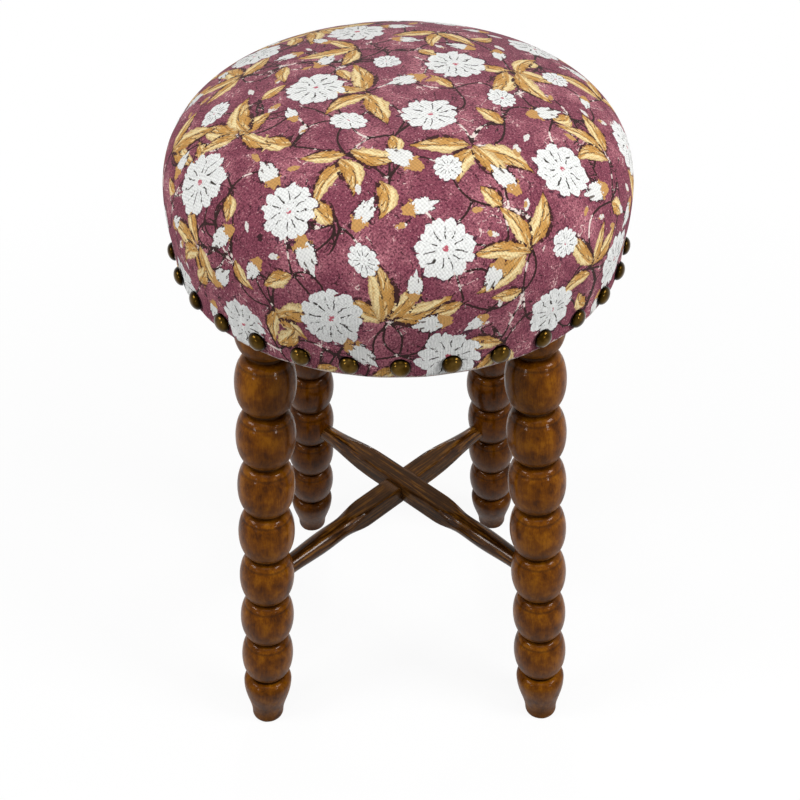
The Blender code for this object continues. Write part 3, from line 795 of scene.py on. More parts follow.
def leg_outline(length, chance):
    """Rows of (radius, height, hollow, crease) up the leg, from the foot's middle to the tenon's."""
    neck = NECK_DIAMETER / 2
    base, widest = FOOT_BASE_DIAMETER / 2, FOOT_TOP_DIAMETER / 2
    taper = FOOT_HEIGHT - NECK_BAND / 2 - FOOT_SHOULDER
    # The third value weighs dullness and painted shade, the fourth painted shade in the creases
    rows = [(0.0, 0.0, FOOT_DULL_SHADE, 0), (base - FOOT_EDGE, 0.0, FOOT_DULL_SHADE, 0)]
    for step in range(1, FOOT_EDGE_STEPS + 1):
        angle = math.pi / 2 * step / FOOT_EDGE_STEPS
        out = base - FOOT_EDGE * (1 - math.sin(angle))
        rows.append((out, FOOT_EDGE * (1 - math.cos(angle)), FOOT_DULL_SHADE, 0))
    for step in range(1, FOOT_STEPS + 1):
        share = step / FOOT_STEPS
        ease = 0.5 - 0.5 * math.cos(math.pi * share)
        out, height = base + (widest - base) * ease, FOOT_EDGE + (taper - FOOT_EDGE) * share
        rows.append((out, height, FOOT_DULL_SHADE + (SHOULDER_DULL_SHADE - FOOT_DULL_SHADE) * share, 0))
    for step in range(1, FOOT_SHOULDER_STEPS + 1):
        angle = math.pi / 2 * step / FOOT_SHOULDER_STEPS
        out = neck + (widest - neck) * math.cos(angle)
        # Painted shade where the foot meets the first bead
        crease_shade = float(step > FOOT_SHOULDER_STEPS - 2)
        rows.append((out, taper + FOOT_SHOULDER * math.sin(angle), SHOULDER_DULL_SHADE, crease_shade))
    bead = BEAD_PITCH - NECK_BAND
    for number in range(BEAD_COUNT):
        low = FOOT_HEIGHT + number * BEAD_PITCH + NECK_BAND / 2
        swell = BEAD_DIAMETER / 2 * (1 + chance.uniform(-1, 1) * TURNING_SPREAD) - neck
        drift = chance.uniform(-1, 1) * TURNING_DRIFT
        for step in range(BEAD_STEPS + 1):
            angle = math.pi * step / BEAD_STEPS
            share = 0.5 - 0.5 * math.cos(angle)
            height = low + bead * share + drift * math.sin(angle)
            # Painted shade in the creases at both ends of the bead
            low_crease_shade = 1 - step / CREASE_SHADE_STEPS_LOW
            high_crease_shade = CREASE_SHADE_HIGH - (BEAD_STEPS - step) / CREASE_SHADE_STEPS_HIGH
            crease_shade = max(0.0, low_crease_shade, high_crease_shade)
            out = neck + swell * math.sin(angle)
            # The fine line is cut in and darkened as painted shade
            if step == SHOULDER_LINE_ROW:
                out, crease_shade = out - SHOULDER_LINE, CREASE_SHADE_LINE
            # Lower half of each bead: duller, and darker as painted shade
            rows.append((out, height, max(0.0, BEAD_DULL_SHADE * (1 - 2 * share)), crease_shade))
    # Painted shade at the leg's top, under the seat board
    rows.append((neck, length, 0, 1))
    tenon = TENON_DIAMETER / 2
    end = length + TENON_LENGTH
    rows += [(tenon, length, 1, 0), (tenon, end, 0, 0), (0.0, end, 0, 0)]
    return rows


def turned_leg(side, number, finish):
    """A leg as it comes off the lathe, cut level at the floor and under the seat board."""
    chance = random.Random(number + 1)
    foot, top = leg_axis(side)
    axis = top - foot
    place = along(foot, axis)
    rows = leg_outline(axis.length, chance)
    slope = axis.normalized()
    shape = bmesh.new()
    rings, marks, grain = [], [], []
    for radius, height, hollow, crease_shade in rows:
        count = 1 if radius == 0.0 else LEG_SEGMENTS
        ring = []
        for step in range(count):
            angle = 2 * math.pi * step / LEG_SEGMENTS
            own = Vector((radius * math.cos(angle), radius * math.sin(angle), height))
            point = place @ own
            level = {0.0: 0.0, axis.length: BOARD_BOTTOM - GAP}.get(height)
            if level is None and point.z < 0.0:
                level = 0.0
            if level is not None:
                point += slope * ((level - point.z) / slope.z)
            ring.append(shape.verts.new(point))
            marks.append((hollow, crease_shade))
            grain.append([value / MM for value in own])
        rings.append(ring)
    skin(shape, rings)
    bmesh.ops.recalc_face_normals(shape, faces=shape.faces)
    mesh = as_mesh(shape, "turned_leg_" + side)
    mesh.shade_smooth()
    mesh.set_sharp_from_angle(angle=LEG_SHARP)
    marks = np.array(marks, float)
    set_attribute(mesh, "turning", np.array(grain) + GRAIN_APART * (number + 1))
    set_attribute(mesh, "hollow", marks[:, 0])
    set_attribute(mesh, "crease_shade", marks[:, 1])
    leg = new_piece("turned_leg_" + side, mesh, finish)
    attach(leg, "root")
    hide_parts("leg_" + side)
    return leg


def stretcher_height():
    foot, top = leg_axis("front_left")
    middle = FOOT_HEIGHT + (STRETCHER_BEAD - 0.5) * BEAD_PITCH
    return middle * BOARD_BOTTOM / (top - foot).length - STRETCHER_DROP


def leg_at(side, height):
    foot, top = leg_axis(side)
    return foot.lerp(top, height / BOARD_BOTTOM)


def lap_centre():
    near = leg_at("front_right", stretcher_height())
    far = leg_at("back_left", stretcher_height())
    return near.lerp(far, near.x / (near.x - far.x))


def arm_knots(side, reach):
    """(place, radius) knots of a turned arm, from the end of its square to the end of its tenon."""
    blank = STRETCHER_SQUARE / 2 * math.sqrt(2) - STRETCHER_ARRIS
    seat = reach - STRETCHER_TENON
    if LEGS[side][1] > 0:
        end = STRETCHER_BACK_END / 2
        return [(STRETCHER_BACK_SQUARE, blank), (seat, end), (reach, end)]
    end = STRETCHER_FRONT_END / 2
    waist = STRETCHER_FRONT_SQUARE + STRETCHER_WAIST_RUN
    swell = waist + STRETCHER_SWELL_RUN
    return [
        (STRETCHER_FRONT_SQUARE, blank),
        (waist, STRETCHER_WAIST / 2),
        (swell, STRETCHER_SWELL / 2),
        (seat, end),
        (reach, end),
    ]


def turned_radius(at, knots):
    """Radius of the turning, which sweeps in an S-curve from each knot to the next."""
    for (low, first), (high, second) in zip(knots, knots[1:]):
        if at <= high:
            share = max(at - low, 0.0) / (high - low)
            return first + (second - first) * (0.5 - 0.5 * math.cos(math.pi * share))
    return knots[-1][1]


def bar_radius(at, angle, knots):
    """Radius of a bar at an angle round it, and whether the turning or a flat of the blank shows there."""
    flat = STRETCHER_SQUARE / 2 / max(abs(math.cos(angle)), abs(math.sin(angle)))
    turned = turned_radius(at, knots)
    power = -ARRIS_SHARPNESS
    return (flat**power + turned**power) ** (1 / power), turned < flat


def arm_stations(knots):
    """Places along an arm at which its section is drawn, closer where the outline bends."""
    places = [knots[0][0] * step / SQUARE_STEPS for step in range(1, SQUARE_STEPS)]
    for (low, _), (high, _) in zip(knots, knots[1:-1]):
        steps = max(ARM_LEAST_STEPS, round((high - low) / ARM_STEP))
        places += [low + (high - low) * step / steps for step in range(steps)]
    return places + [knots[-2][0], knots[-1][0]]


def stretcher(name, finish):
    """A turned bar that keeps the flats of its square blank where the turning is thicker."""
    front, back, lift, grain_start = STRETCHERS[name]
    centre = lap_centre()
    ends = {side: leg_at(side, stretcher_height()) - centre for side in (front, back)}
    place = along(centre + Vector((0, 0, lift)), ends[front], up=(0, 0, 1))
    arms = {}
    for side in (front, back):
        arms[side] = arm_knots(side, ends[side].length - BEAD_DIAMETER / 2 + STRETCHER_TENON)
    stations = [(-at, arms[back]) for at in reversed(arm_stations(arms[back]))]
    stations += [(0.0, arms[front])]
    stations += [(at, arms[front]) for at in arm_stations(arms[front])]
    shape = bmesh.new()
    rings, grain, flats = [], [], []
    for at, knots in stations:
        ring = []
        for step in range(BAR_SEGMENTS):
            angle = 2 * math.pi * step / BAR_SEGMENTS
            radius, turned = bar_radius(abs(at), angle, knots)
            own = Vector((radius * math.cos(angle), radius * math.sin(angle), at))
            ring.append(shape.verts.new(place @ own))
            grain.append([value / MM for value in own])
            flats.append(0.0 if turned else FLAT_DULLNESS)
        rings.append(ring)
    skin(shape, rings)
    shape.faces.new(reversed(rings[0]))
    shape.faces.new(rings[-1])
    bmesh.ops.recalc_face_normals(shape, faces=shape.faces)
    mesh = as_mesh(shape, "square_stretcher_" + name)
    set_attribute(mesh, "turning", np.array(grain) + grain_start)
    set_attribute(mesh, "hollow", np.array(flats))
    set_attribute(mesh, "crease_shade", np.zeros(len(flats)))
    bar = new_piece("square_stretcher_" + name, mesh, finish)
    return bar, place


def half_lap(bars):
    """Cuts each bar half away over the width of the other."""
    middle = stretcher_height() + LAP_PROUD / 2
    half = STRETCHER_SQUARE / 2 + GAP
    span = STRETCHER_SQUARE * 2
    for name, other in (("upper", "lower"), ("lower", "upper")):
        bar, _ = bars[name]
        _, place = bars[other]
        low, high = middle - GAP / 2, middle + span
        if name == "upper":
            low, high = middle - span, middle + GAP / 2
        shape = bmesh.new()
        bmesh.ops.create_cube(shape, size=1.0)
        down = place.translation.z
        size = Matrix.Diagonal((2 * half, high - low, 2 * span, 1.0))
        shift = Matrix.Translation((0, (low + high) / 2 - down, 0))
        bmesh.ops.transform(shape, matrix=place @ shift @ size, verts=shape.verts)
        cutter = new_piece("lap_cut", as_mesh(shape, "lap_cut"))
        cut = bar.modifiers.new("half_lap", "BOOLEAN")
        cut.object = cutter
        plain_mesh(bar)
        bpy.data.objects.remove(cutter)
        bar.data.shade_smooth()
        bar.data.set_sharp_from_angle(angle=BAR_SHARP)
        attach(bar, "root")
        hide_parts("stretcher_" + name)


# Seat


def cover_outline(inset):
    """Fine (radius, height) points of the cover's outer side, from the crown to its turned-in edge."""
    rise, reach = CROWN_Z - inset - BULGE_Z, SEAT_RADIUS - inset
    points = []
    for step in range(CROWN_STEPS + 1):
        angle = math.pi / 2 * (1 - (step / CROWN_STEPS) ** CROWN_CROWDING)
        out = max(math.cos(angle), 0.0) ** (2 / CROWN_ROUND_OUT)
        up = max(math.sin(angle), 0.0) ** (2 / CROWN_ROUND_UP)
        points.append((reach * out, BULGE_Z + rise * up))
    for step in range(1, SIDE_STEPS + 1):
        share = step / SIDE_STEPS
        ease = share * share * (3 - 2 * share)
        drawn = inset + (HEM_DRAWN_IN - inset) * ease
        points.append((SEAT_RADIUS - drawn, BULGE_Z - SEAT_BULGE_HEIGHT * share))
    under = BOARD_BOTTOM - GAP - COVER_THICKNESS
    points.append((HEM_RADIUS, under + HEM_CORNER))
    for step in range(1, HEM_CORNER_STEPS + 1):
        angle = math.pi / 2 * step / HEM_CORNER_STEPS
        out = HEM_RADIUS - HEM_CORNER * (1 - math.cos(angle))
        points.append((out, under + HEM_CORNER * (1 - math.sin(angle))))
    points.append((HEM_RADIUS - HEM_TURN, under))
    return np.array(points)


class Outline:
    """The cover's outline by arc length from the crown."""

    def __init__(self, inset=0.0):
        self.points = cover_outline(inset)
        steps = np.hypot(*np.diff(self.points, axis=0).T)
        self.arc = np.concatenate([[0.0], np.cumsum(steps)])
        self.length = self.arc[-1]
        lower = BOARD_TOP + SEAT_BULGE_HEIGHT / 2
        self.hem = float(self.arc[np.argmax((self.points[:, 1] < lower))])

    def at(self, arc):
        return np.interp(arc, self.arc, self.points[:, 0]), np.interp(arc, self.arc, self.points[:, 1])

    def place(self, arc, angle):
        """Point on the cover, with the directions down it, along it and out of it."""
        step = 0.5 * MM
        radius, height = self.at(arc)
        before, after = self.at(max(arc - step, 0.0)), self.at(min(arc + step, self.length))
        run, drop = after[0] - before[0], after[1] - before[1]
        size = math.hypot(run, drop)
        out = np.array([math.cos(angle), math.sin(angle), 0.0])
        down = out * (run / size) + np.array([0, 0, drop / size])
        side = np.array([-math.sin(angle), math.cos(angle), 0.0])
        point = out * radius + np.array([0, 0, height])
        return point, down, side, np.cross(down, side)


def cloth_grid(outline):
    """A square grid laid over the dome: its arc lengths and angles, and its quads."""
    count = CLOTH_CELLS + 1
    half = CLOTH_CELLS // 2
    dome = half - CLOTH_HEM_CELLS
    arcs = np.concatenate(
        [
            np.linspace(0, outline.hem, dome + 1),
            np.linspace(outline.hem, outline.length, CLOTH_HEM_CELLS + 1)[1:],
        ]
    )
    a, b = np.meshgrid(np.arange(-half, half + 1), np.arange(-half, half + 1))
    a, b = a.ravel(), b.ravel()
    wide = np.abs(a) > np.abs(b)
    ring = np.where(wide, np.abs(a), np.abs(b))
    with np.errstate(divide="ignore", invalid="ignore"):
        flat = np.where(a == 0, 0.0, math.pi / 4 * b / a) + np.where(a < 0, math.pi, 0.0)
        steep = math.pi / 2 - np.where(b == 0, 0.0, math.pi / 4 * a / b) + np.where(b < 0, math.pi, 0.0)
    angle = np.where(wide, flat, steep)
    quads = []
    for row in range(CLOTH_CELLS):
        for column in range(CLOTH_CELLS):
            first = row * count + column
            quads.append((first, first + 1, first + count + 1, first + count))
    return arcs[ring], angle, quads


def grid_points(outline, arc, angle):
    radius, height = outline.at(arc)
    return np.stack([radius * np.cos(angle), radius * np.sin(angle), height], axis=1)


def nail_angles():
    return [2 * math.pi * number / NAIL_COUNT - math.pi / 2 for number in range(NAIL_COUNT)]


def swell_cover(mesh):
    """Blows the cover up a little over its pinned nails and hem, as the padding does."""
    body = new_piece("cover_sim", mesh.copy())
    start = mesh_points(mesh)
    nails = np.array([(math.cos(a) * HEM_RADIUS, math.sin(a) * HEM_RADIUS, NAIL_Z) for a in nail_angles()])
    to_nail = np.min(np.linalg.norm(start[:, None, :] - nails[None], axis=2), axis=1)
    pinned = (to_nail < NAIL_HEAD_DIAMETER / 2) | (start[:, 2] < NAIL_Z)
    group = body.vertex_groups.new(name="pinned")
    group.add([int(i) for i in np.flatnonzero(pinned)], 1.0, "REPLACE")
    cloth = body.modifiers.new("cloth", "CLOTH")
    settings = cloth.settings
    settings.quality = SIM_QUALITY
    settings.mass = SIM_POINT_MASS
    settings.use_pressure = True
    settings.uniform_pressure_force = SIM_PRESSURE
    settings.vertex_group_mass = "pinned"
    settings.effector_weights.gravity = 0.0
    cloth.point_cache.frame_start = 1
    cloth.point_cache.frame_end = SIM_FRAMES
    scene = bpy.context.scene
    for number in range(1, SIM_FRAMES + 1):
        scene.frame_set(number)
    graph = bpy.context.evaluated_depsgraph_get()
    made = bpy.data.meshes.new_from_object(body.evaluated_get(graph))
    moved = mesh_points(made) - start
    far = np.linalg.norm(moved, axis=1, keepdims=True)
    calm = np.clip((to_nail - NAIL_HEAD_DIAMETER / 2) / NAIL_CALM, 0.0, 1.0)
    limit = SWELL * calm * calm * (3 - 2 * calm)
    moved *= np.minimum(1.0, limit[:, None] / np.maximum(far, 1e-9))
    bpy.data.objects.remove(body)
    scene.frame_set(1)
    set_points(mesh, start + moved)


def close_cover(mesh, outline):
    """Closes the cover with the hollow that the seat board fills."""
    board = HEM_RADIUS - COVER_THICKNESS
    edge = outline.points[-1]
    rows = [
        (edge[0], BOARD_BOTTOM - GAP),
        (board - HEM_CORNER, BOARD_BOTTOM - GAP),
        (board, BOARD_BOTTOM + HEM_CORNER - COVER_THICKNESS),
        (board, BOARD_TOP + GAP),
    ]
    shape = bmesh.new()
    shape.from_mesh(mesh)
    last = sorted((v for v in shape.verts if v.is_boundary), key=lambda v: math.atan2(v.co.y, v.co.x))
    angles = [math.atan2(v.co.y, v.co.x) for v in last]
    rings = [last]
    for radius, height in rows:
        rings.append(ring_at(shape, radius, height, angles))
    skin(shape, rings)
    shape.faces.new(rings[-1])
    bmesh.ops.recalc_face_normals(shape, faces=shape.faces)
    shape.to_mesh(mesh)
    shape.free()


def make_cover(finish):
    """The padded, printed cover: swollen over the board, dimpled at the nails, gathered under the hem."""
    full = Outline()
    start = Outline(SWELL)
    arc, angle, quads = cloth_grid(start)
    mesh = bpy.data.meshes.new("seat_cover")
    mesh.from_pydata(grid_points(start, arc, angle).tolist(), [], quads)
    swell_cover(mesh)
    cover = new_piece("seat_cover", mesh, finish)
    smooth = cover.modifiers.new("finer", "SUBSURF")
    smooth.levels = 1
    smooth.render_levels = 1
    mesh = plain_mesh(cover).data
    set_points(mesh, press_cover(mesh_points(mesh)))
    close_cover(mesh, full)
    mesh.shade_smooth()
    points = mesh_points(mesh)
    print_cover(mesh, points, full)
    cloth_uv(mesh, points, full)
    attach(cover, "root")
    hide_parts("fabric_cover", "wadding_wrap", "foam_pad")
    return cover


def press_cover(points):
    """Dimples under the nail heads, and gathers in the cloth that is turned under the board."""
    out = np.hypot(points[:, 0], points[:, 1])
    angle = np.arctan2(points[:, 1], points[:, 0])
    side = (out > HEM_RADIUS - HEM_CORNER) & (points[:, 2] < BULGE_Z)
    for nail in nail_angles():
        seat = np.array([math.cos(nail) * HEM_RADIUS, math.sin(nail) * HEM_RADIUS, NAIL_Z])
        away = np.linalg.norm(points - seat, axis=1)
        press = NAIL_DIMPLE * np.exp(-((away / NAIL_HEAD_DIAMETER * NAIL_DIMPLE_TIGHTNESS) ** 2)) * side
        points[:, 0] -= press * math.cos(nail)
        points[:, 1] -= press * math.sin(nail)
    under = points[:, 2] < BOARD_BOTTOM - 2 * GAP
    fade = np.clip((HEM_RADIUS - HEM_CORNER - out) / HEM_CORNER, 0.0, 1.0) * under
    sway = PLEAT_SWAY * np.sin(PLEAT_SWAY_COUNT * angle)
    points[:, 2] -= PLEAT_DEPTH * fade * (0.5 + 0.5 * np.sin(PLEAT_COUNT * angle + sway))
    return points


def cloth_uv(mesh, points, outline):
    """The flat cloth, in metres from its middle, as a UV map."""
    out = np.hypot(points[:, 0], points[:, 1])
    angle = np.arctan2(points[:, 1], points[:, 0])
    nearest = np.zeros(len(points))
    best = np.full(len(points), np.inf)
    for index in range(0, len(outline.arc), UV_ARC_STEP):
        radius, height = outline.points[index]
        gap = (out - radius) ** 2 + (points[:, 2] - height) ** 2
        closer = gap < best
        best[closer] = gap[closer]
        nearest[closer] = outline.arc[index]
    flat = np.stack([nearest * np.cos(angle), nearest * np.sin(angle)], axis=1)
    corners = np.zeros(len(mesh.loops), np.int32)
    mesh.loops.foreach_get("vertex_index", corners)
    layer = mesh.uv_layers.new(name="cloth")
    layer.data.foreach_set("uv", flat[corners].astype(np.float32).ravel())


# Print


def scatter(outline, chance, spacing, others, count):
    """Points spread over the cover, each at least spacing from its like and clear of the others."""
    found = []
    for _ in range(SCATTER_TRIES):
        arc = chance.uniform(0.0, outline.hem + PRINT_PAST_DOME)
        radius, _ = outline.at(arc)
        if chance.random() * SEAT_RADIUS > radius:
            continue
        angle = chance.uniform(-math.pi, math.pi)
        point = outline.place(arc, angle)[0]
        clear = all(np.linalg.norm(point - p) >= spacing for _, _, p in found)
        for group, gap in others:
            clear = clear and all(np.linalg.norm(point - p) >= gap for _, _, p in group)
        if clear:
            found.append((arc, angle, point))
        if len(found) == count:
            break
    return found


def motif_coordinates(points, place, turn, half_length, half_width):
    """Each point's place along and across a motif that lies on the cover, in half sizes of the motif."""
    centre, down, side, out = place
    nearest = points[np.argmin(np.linalg.norm(points - centre, axis=1))]
    centre = centre + out * ((nearest - centre) @ out)
    along_axis = down * math.cos(turn) + side * math.sin(turn)
    cross_axis = side * math.cos(turn) - down * math.sin(turn)
    away = points - centre
    reach = np.linalg.norm(away, axis=1)
    near = np.flatnonzero(reach < MOTIF_REACH * max(half_length, half_width))
    x, y = away[near] @ along_axis, away[near] @ cross_axis
    flat = np.maximum(np.hypot(x, y), 1e-9)
    stretch = np.minimum(reach[near] / flat, MOTIF_STRETCH)
    return near, x * stretch / half_length, y * stretch / half_width


def lay(layer, near, x, y, measure):
    """Writes a motif's coordinates where it is nearer than what the layer holds."""
    closer = measure < layer[near, 2]
    rows = near[closer]
    layer[rows] = np.stack([x, y, measure], axis=1)[closer]


def lay_leaf(layer, points, outline, foot, turn, length, chance):
    """A leaf that grows from a foot on the cover, bent to one side."""
    centre, down, side, _ = foot
    reach = down * math.cos(turn) + side * math.sin(turn)
    middle = centre + reach * (length * 0.5 + LEAF_FROM_FOOT)
    own = outline.place(nearest_arc(outline, middle), math.atan2(middle[1], middle[0]))
    own_turn = math.atan2(reach @ own[2], reach @ own[1])
    width = LEAF_WIDTH * chance.uniform(*LEAF_WIDTH_SPREAD) * (0.5 + 0.5 * length / LEAF_LENGTH[1])
    near, x, y = motif_coordinates(points, own, own_turn, length / 2, width / 2)
    y = y - chance.uniform(-LEAF_BEND, LEAF_BEND) * x * x
    lay(layer, near, x, y, np.abs(y) + x * x)


def print_cover(mesh, points, outline):
    """Scatters blossoms, leaves, buds and stems, and stores each point's place on them."""
    chance = random.Random(PRINT_SEED)
    blossoms = scatter(outline, chance, BLOSSOM_SPACING, [], BLOSSOM_COUNT)
    taken = [(blossoms, SMALL_BLOSSOM_SPACING)]
    small = scatter(outline, chance, SMALL_BLOSSOM_SPACING, taken, SMALL_BLOSSOM_COUNT)
    taken = [(blossoms, SPRAY_TO_BLOSSOM), (small, SPRAY_TO_SMALL)]
    sprays = scatter(outline, chance, SPRAY_SPACING, taken, SPRAY_COUNT)
    taken = [(blossoms, BUD_TO_BLOSSOM), (small, BUD_SPACING), (sprays, BUD_SPACING)]
    lone = scatter(outline, chance, LONE_LEAF_SPACING, taken, LONE_LEAF_COUNT)
    taken += [(lone, BUD_TO_LEAF)]
    buds = scatter(outline, chance, BUD_SPACING, taken, BUD_COUNT)
    bits = scatter(outline, chance, BIT_SPACING, taken + [(buds, BIT_SPACING)], BIT_COUNT)

    blossom_layer = np.full((len(points), 3), FAR)
    sizes = [(flower, chance.uniform(*BLOSSOM_SPREAD), BLOSSOM_SQUASH) for flower in blossoms]
    sizes += [(flower, chance.uniform(*SMALL_BLOSSOM), chance.uniform(*SMALL_SQUASH)) for flower in small]
    for (arc, angle, _), scale, squash in sizes:
        size, turn = BLOSSOM_RADIUS * scale, chance.uniform(-math.pi, math.pi)
        near, x, y = motif_coordinates(points, outline.place(arc, angle), turn, size, size * squash)
        lay(blossom_layer, near, x, y, np.hypot(x, y))
    set_attribute(mesh, "blossom", blossom_layer)

    leaf_layers = [np.full((len(points), 3), FAR) for _ in range(LEAF_LAYERS)]
    for arc, angle, _ in sprays:
        foot = outline.place(arc, angle)
        count = chance.choice(SPRAY_LEAVES)
        first = chance.uniform(-math.pi, math.pi)
        for number in range(count):
            turn = first + (number - (count - 1) / 2) * chance.uniform(*SPRAY_FAN)
            layer = leaf_layers[number % LEAF_LAYERS]
            lay_leaf(layer, points, outline, foot, turn, chance.uniform(*LEAF_LENGTH), chance)
    for number, (arc, angle, _) in enumerate(lone):
        length = LEAF_LENGTH[0] * chance.uniform(*LONE_LEAF_SPREAD)
        layer, turn = leaf_layers[number % LEAF_LAYERS], chance.uniform(-math.pi, math.pi)
        lay_leaf(layer, points, outline, outline.place(arc, angle), turn, length, chance)
    for number, layer in enumerate(leaf_layers):
        set_attribute(mesh, f"leaf_{number}", layer)

    for name, motifs, length, width in (
        ("bud", buds, BUD_LENGTH, BUD_WIDTH),
        ("bit", bits, BIT_LENGTH, BIT_WIDTH),
    ):
        layer = np.full((len(points), 3), FAR)
        for arc, angle, _ in motifs:
            turn, size = chance.uniform(-math.pi, math.pi), chance.uniform(*BUD_AND_BIT_SPREAD) / 2
            place = outline.place(arc, angle)
            near, x, y = motif_coordinates(points, place, turn, length * size, width * size)
            lay(layer, near, x, y, np.abs(y) + x * x)
        set_attribute(mesh, name, layer)
    set_attribute(mesh, "stem", stem_layer(points, outline, chance, blossoms + small + buds, sprays + lone))


def nearest_arc(outline, point):
    out = math.hypot(point[0], point[1])
    gaps = (outline.points[:, 0] - out) ** 2 + (outline.points[:, 1] - point[2]) ** 2
    return float(outline.arc[np.argmin(gaps)])


def flat_place(motif):
    """A motif's place on the cloth as it lies flat."""
    arc, angle, _ = motif
    return np.array([arc * math.cos(angle), arc * math.sin(angle)])


def stem_layer(points, outline, chance, flowers, sprays):
    """Signed and plain distance, in millimetres, to stems between the motifs and to loose tendrils."""
    layer = np.full((len(points), 3), FAR)
    shares = np.linspace(0.0, 1.0, STEM_POINTS)
    for spray in sprays:
        away = sorted(flowers + sprays, key=lambda m: np.linalg.norm(m[2] - spray[2]))
        away = [m for m in away if np.linalg.norm(m[2] - spray[2]) > STEM_SHORTEST]
        start = flat_place(spray)
        for other in away[:STEMS_PER_SPRAY]:
            span = flat_place(other) - start
            across = np.array([-span[1], span[0]]) * chance.uniform(-STEM_SWAY, STEM_SWAY) * 2
            route = [start + span * s + across * math.sin(math.pi * s) for s in shares]
            write_stem(layer, points, outline, route)
    for _ in range(TENDRIL_COUNT):
        place = flat_place(chance.choice(flowers + sprays))
        heading, curl = chance.uniform(-math.pi, math.pi), chance.uniform(-TENDRIL_CURL, TENDRIL_CURL)
        step = chance.uniform(*TENDRIL_LENGTH) / STEM_POINTS
        route = [place]
        for _ in range(STEM_POINTS):
            heading += curl + chance.uniform(-TENDRIL_WANDER, TENDRIL_WANDER)
            route.append(route[-1] + step * np.array([math.cos(heading), math.sin(heading)]))
        write_stem(layer, points, outline, route)
    return layer


def write_stem(layer, points, outline, route):
    """Notes the distance to a stem that runs through flat places on the cloth."""
    places = []
    for flat in route:
        arc = min(float(np.hypot(*flat)), outline.length)
        places.append(outline.place(arc, math.atan2(flat[1], flat[0])))
    middle = np.mean([place[0] for place in places], axis=0)
    size = max(np.linalg.norm(place[0] - middle) for place in places)
    near = np.flatnonzero(np.linalg.norm(points - middle, axis=1) < size + STEM_REACH)
    for (low, *_), (high, _, _, out) in zip(places, places[1:]):
        span = high - low
        size = max(np.linalg.norm(span), 1e-6)
        away = points[near] - low
        away -= np.outer(away @ out, out)
        share = np.clip(away @ span / size**2, 0.0, 1.0)
        gap = np.linalg.norm(away - share[:, None] * span, axis=1) / MM
        signed = np.copysign(gap, away @ np.cross(out, span / size))
        closer = gap < layer[near, 1]
        rows = near[closer]
        layer[rows, 0] = signed[closer]
        layer[rows, 1] = gap[closer]


# What repeats, made with Geometry Nodes


def ring_tree(name, pattern, finish, chance_turn, outward_axis):
    """Copies of a pattern on a level ring, one axis of each facing out, turned a little by chance."""
    tree = bpy.data.node_groups.new(name, "GeometryNodeTree")
    sockets = {}
    for label, kind in (
        ("Count", "NodeSocketInt"),
        ("Radius", "NodeSocketFloat"),
        ("Height", "NodeSocketFloat"),
        ("Seed", "NodeSocketInt"),
    ):
        sockets[label] = tree.interface.new_socket(label, in_out="INPUT", socket_type=kind)
    tree.interface.new_socket("Geometry", in_out="OUTPUT", socket_type="NodeSocketGeometry")
    add = adder(tree, "")
    given = add("NodeGroupInput")
    circle = add("GeometryNodeMeshCircle", Vertices=given.outputs["Count"], Radius=given.outputs["Radius"])
    lift = add("ShaderNodeCombineXYZ", Z=given.outputs["Height"])
    outward = add("GeometryNodeInputPosition")
    pivot = "AUTO" if outward_axis == "Z" else "Z"
    facing = add("FunctionNodeAlignRotationToVector", Vector=outward, axis=outward_axis, pivot_axis=pivot)
    low, high = [-value for value in chance_turn], list(chance_turn)
    jitter = add(
        "FunctionNodeRandomValue", Min=low, Max=high, Seed=given.outputs["Seed"], data_type="FLOAT_VECTOR"
    )
    nudge = add("FunctionNodeEulerToRotation", Euler=jitter)
    turned = add("FunctionNodeRotateRotation", Rotation=facing, Rotate_By=nudge, rotation_space="LOCAL")
    shape = add("GeometryNodeObjectInfo", Object=pattern, As_Instance=True)
    placed = add(
        "GeometryNodeInstanceOnPoints", Points=circle, Instance=shape.outputs["Geometry"], Rotation=turned
    )
    raised = add("GeometryNodeTranslateInstances", Instances=placed, Translation=lift, Local_Space=False)
    real = add("GeometryNodeRealizeInstances", Geometry=raised)
    finished = add("GeometryNodeSetMaterial", Geometry=real, Material=finish)
    add("NodeGroupOutput", Geometry=finished)
    return tree, sockets


def ring_of(name, pattern, finish, chance_turn, outward_axis, **values):
    tree, sockets = ring_tree(name, pattern, finish, chance_turn, outward_axis)
    piece = new_piece(name, bpy.data.meshes.new(name))
    step = piece.modifiers.new(name, "NODES")
    step.node_group = tree
    for label, value in values.items():
        step[sockets[label].identifier] = value
    plain_mesh(piece)
    bpy.data.objects.remove(pattern)
    piece.data.shade_smooth()
    piece.data.set_sharp_from_angle(angle=SMALL_SHARP)
    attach(piece, "root")
    return piece


def turned_pattern(name, rows, segments):
    """A small turned shape about the Z axis, from (radius, height) rows, top to bottom."""
    shape = bmesh.new()
    rings = []
    for radius, height in rows:
        count = 1 if radius == 0.0 else segments
        angles = [2 * math.pi * step / segments for step in range(count)]
        rings.append(ring_at(shape, radius, height, angles))
    skin(shape, rings)
    bmesh.ops.recalc_face_normals(shape, faces=shape.faces)
    mesh = as_mesh(shape, name)
    mesh.shade_smooth()
    return new_piece(name, mesh)


